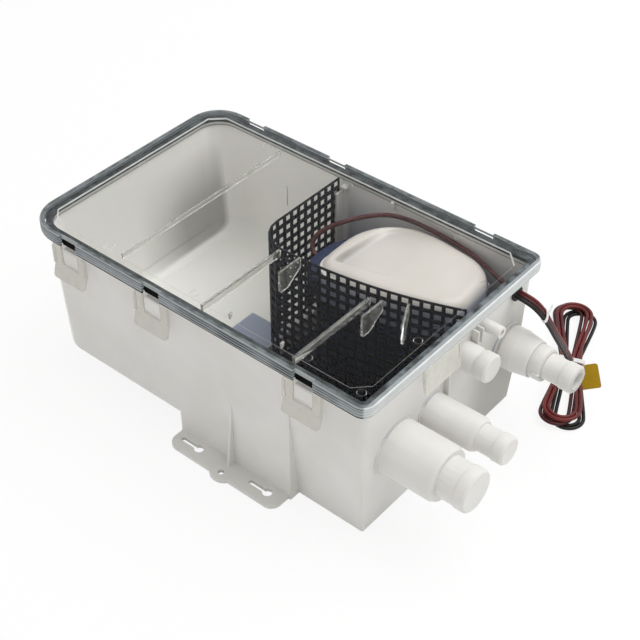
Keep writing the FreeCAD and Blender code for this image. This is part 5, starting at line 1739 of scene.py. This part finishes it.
LATCHES = tuple(f"latch_{side}_{number}" for side in ("front", "back") for number in (1, 2, 3))
NODE_FINISHES = {
    Finish.TUB: ("sump_box", "valve_inlet_body", "valve_outlet_barb", "bulkhead_nut"),
    Finish.TRIM: ("edge_trim",),
    Finish.PALE_RUBBER: ("bulkhead_seal",),
    Finish.RUBBER: (
        "valve_flapper", "discharge_sleeve", "body_seal", "end_plate", "shaft_seal", "float_switch",
        "cable_grommet",
    ),
    Finish.STEEL: ("sleeve_clamps", "motor_can", "motor_shaft", "armature", "float_post"),
    Finish.NAVY: ("pump_body", "strainer_base", "impeller"),
    Finish.FERRITE: ("brushes", "field_magnets"),
    Finish.BRONZE: ("lower_bearing", "upper_bearing", "commutator"),
    Finish.FLOAT: ("level_float",),
    Finish.TIE: ("hank_tie",),
    Finish.CARD: ("wire_tag",),
    Finish.FROSTED: LATCHES,
}
NODE_ROUNDING = {
    0.0005: ("sump_box", "pump_body", "edge_trim", *LATCHES),
    0.0004: ("valve_inlet_body", "valve_outlet_barb", "bulkhead_nut", "cable_grommet", "strainer_base"),
    0.0003: ("hank_tie",),
}


@dataclass
class StandingNodes:
    """The CAD nodes that stay, each with its finish and, where it is moulded, rounded edges."""

    rounding_angle: float = 40.0

    def build(self) -> None:
        """Dresses every node that stays."""
        for finish, names in NODE_FINISHES.items():
            for name in names:
                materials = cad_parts[name].data.materials
                materials.clear()
                materials.append(palette.get(finish))
                log.info("node %s has %s", name, finish.value)
        for width, names in NODE_ROUNDING.items():
            for name in names:
                round_edges(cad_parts[name], width, self.rounding_angle)


@dataclass(frozen=True)
class Lamp:
    """One soft area lamp that looks at the middle of the tub."""

    name: str
    place: Place
    size: float
    power: float

    def build(self, target: Vector) -> None:
        """Makes the lamp.

        Args:
            target: The point it looks at.
        """
        light = bpy.data.lights.new(self.name, "AREA")
        light.shape = "DISK"
        light.size = self.size
        light.energy = self.power
        lamp = linked(self.name, light)
        lamp.location = self.place
        lamp.rotation_mode = "QUATERNION"
        lamp.rotation_quaternion = (target - Vector(self.place)).to_track_quat("-Z", "Y")


@dataclass
class Studio:
    """The camera, the lamps, the white surroundings and the pale floor."""

    camera_place: Place = (0.5081, -0.5688, 0.70735)
    azimuth: float = 39.723
    elevation: float = 40.672
    roll: float = 0.172
    focal_share: float = 1386.6 / 640
    sensor: float = 36.0
    clip: Span = (0.05, 50.0)
    middle: Place = (0.02, 0.0, 0.06)
    world_light: Colour = (1.0, 0.99, 0.975)
    world_strength: float = 0.66
    floor_side: float = 12.0
    floor_level: float = -0.0003
    floor_tones: tuple[Colour, Colour] = ((0.94, 0.94, 0.94), (0.92, 0.92, 0.92))
    floor_span: Span = (0.3, 0.7)
    floor_glow: float = 0.86
    lamps: tuple[Lamp, ...] = (
        Lamp("lamp_over", (0.50, 0.55, 1.45), 1.6, 16.0),
        Lamp("lamp_front", (-0.6, -1.5, 0.9), 1.4, 0.8),
    )

    def make_camera(self) -> None:
        """Places the camera as the photograph has it."""
        a = math.radians(self.azimuth)
        e = math.radians(self.elevation)
        r = math.radians(self.roll)
        back = Vector((math.sin(a) * math.cos(e), -math.cos(a) * math.cos(e), math.sin(e)))
        level = Vector((math.cos(a), math.sin(a), 0.0))
        upright = back.cross(level)
        right = level * math.cos(r) + upright * math.sin(r)
        up = upright * math.cos(r) - level * math.sin(r)
        data = bpy.data.cameras.new("photo_camera")
        data.sensor_width = self.sensor
        data.lens = self.focal_share * self.sensor
        data.clip_start, data.clip_end = self.clip
        camera = linked("photo_camera", data)
        turn = Matrix((right, up, back)).transposed().to_4x4()
        camera.matrix_world = Matrix.Translation(self.camera_place) @ turn
        bpy.context.scene.camera = camera

    def make_world(self) -> None:
        """Makes the white surroundings, plain white to the eye and softer as light."""
        world = Nodes(bpy.data.worlds.new("studio_world"))
        values = {"Color": self.world_light, "Strength": self.world_strength}
        lit = world.add("ShaderNodeBackground", values).outputs[0]
        seen = world.add("ShaderNodeBackground", {"Color": (1.0, 1.0, 1.0), "Strength": 1.0}).outputs[0]
        share = world.any_ray("Camera", "Glossy", "Transmission")
        world.add("ShaderNodeOutputWorld", {"Surface": world.mixed(share, lit, seen)})
        bpy.context.scene.world = world.owner

    def make_floor(self) -> None:
        """Makes the floor, nearly white, which keeps the pump's shadow."""
        work = bmesh.new()
        half = self.floor_side / 2
        corners = ((-half, -half), (half, -half), (half, half), (-half, half))
        work.faces.new([work.verts.new((x, y, self.floor_level)) for x, y in corners])
        floor = piece_from("studio_floor", work)
        s = Shader("floor_paper")
        tone = s.spread(s.noise(scale=3.0, detail=3.0), *self.floor_span)
        s.set("Base Color", s.blend(tone, *self.floor_tones))
        s.set("Roughness", 0.9)
        s.set("Specular IOR Level", 0.1)
        glow = s.add("ShaderNodeEmission", {"Strength": 1.0}).outputs[0]
        share = s.product(s.any_ray("Camera", "Glossy", "Transmission"), self.floor_glow)
        s.feed(s.output.inputs["Surface"], s.mixed(share, s.surface.outputs[0], glow))
        floor.data.materials.append(s.owner)

    def build(self) -> None:
        """Makes the whole studio."""
        self.make_camera()
        self.make_world()
        self.make_floor()
        for lamp in self.lamps:
            lamp.build(Vector(self.middle))
        bpy.context.scene.view_settings.view_transform = "Standard"


def main() -> None:
    """Builds the studio, the cords and every dressed piece, in that order."""
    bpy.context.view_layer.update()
    for part in (
        Studio(), WireLeads(), StandingNodes(), FilterScreen(), ShelfCove(), WallLugs(), TrimLipsAndGapShade(),
        BodyShoulderAndShade(), WireTie(), PumpCover(), ClearLid(),
    ):
        log.info("building %s", type(part).__name__)
        part.build()


if __name__ == "__main__":
    logging.basicConfig(level=logging.INFO, format="%(message)s")
    main()
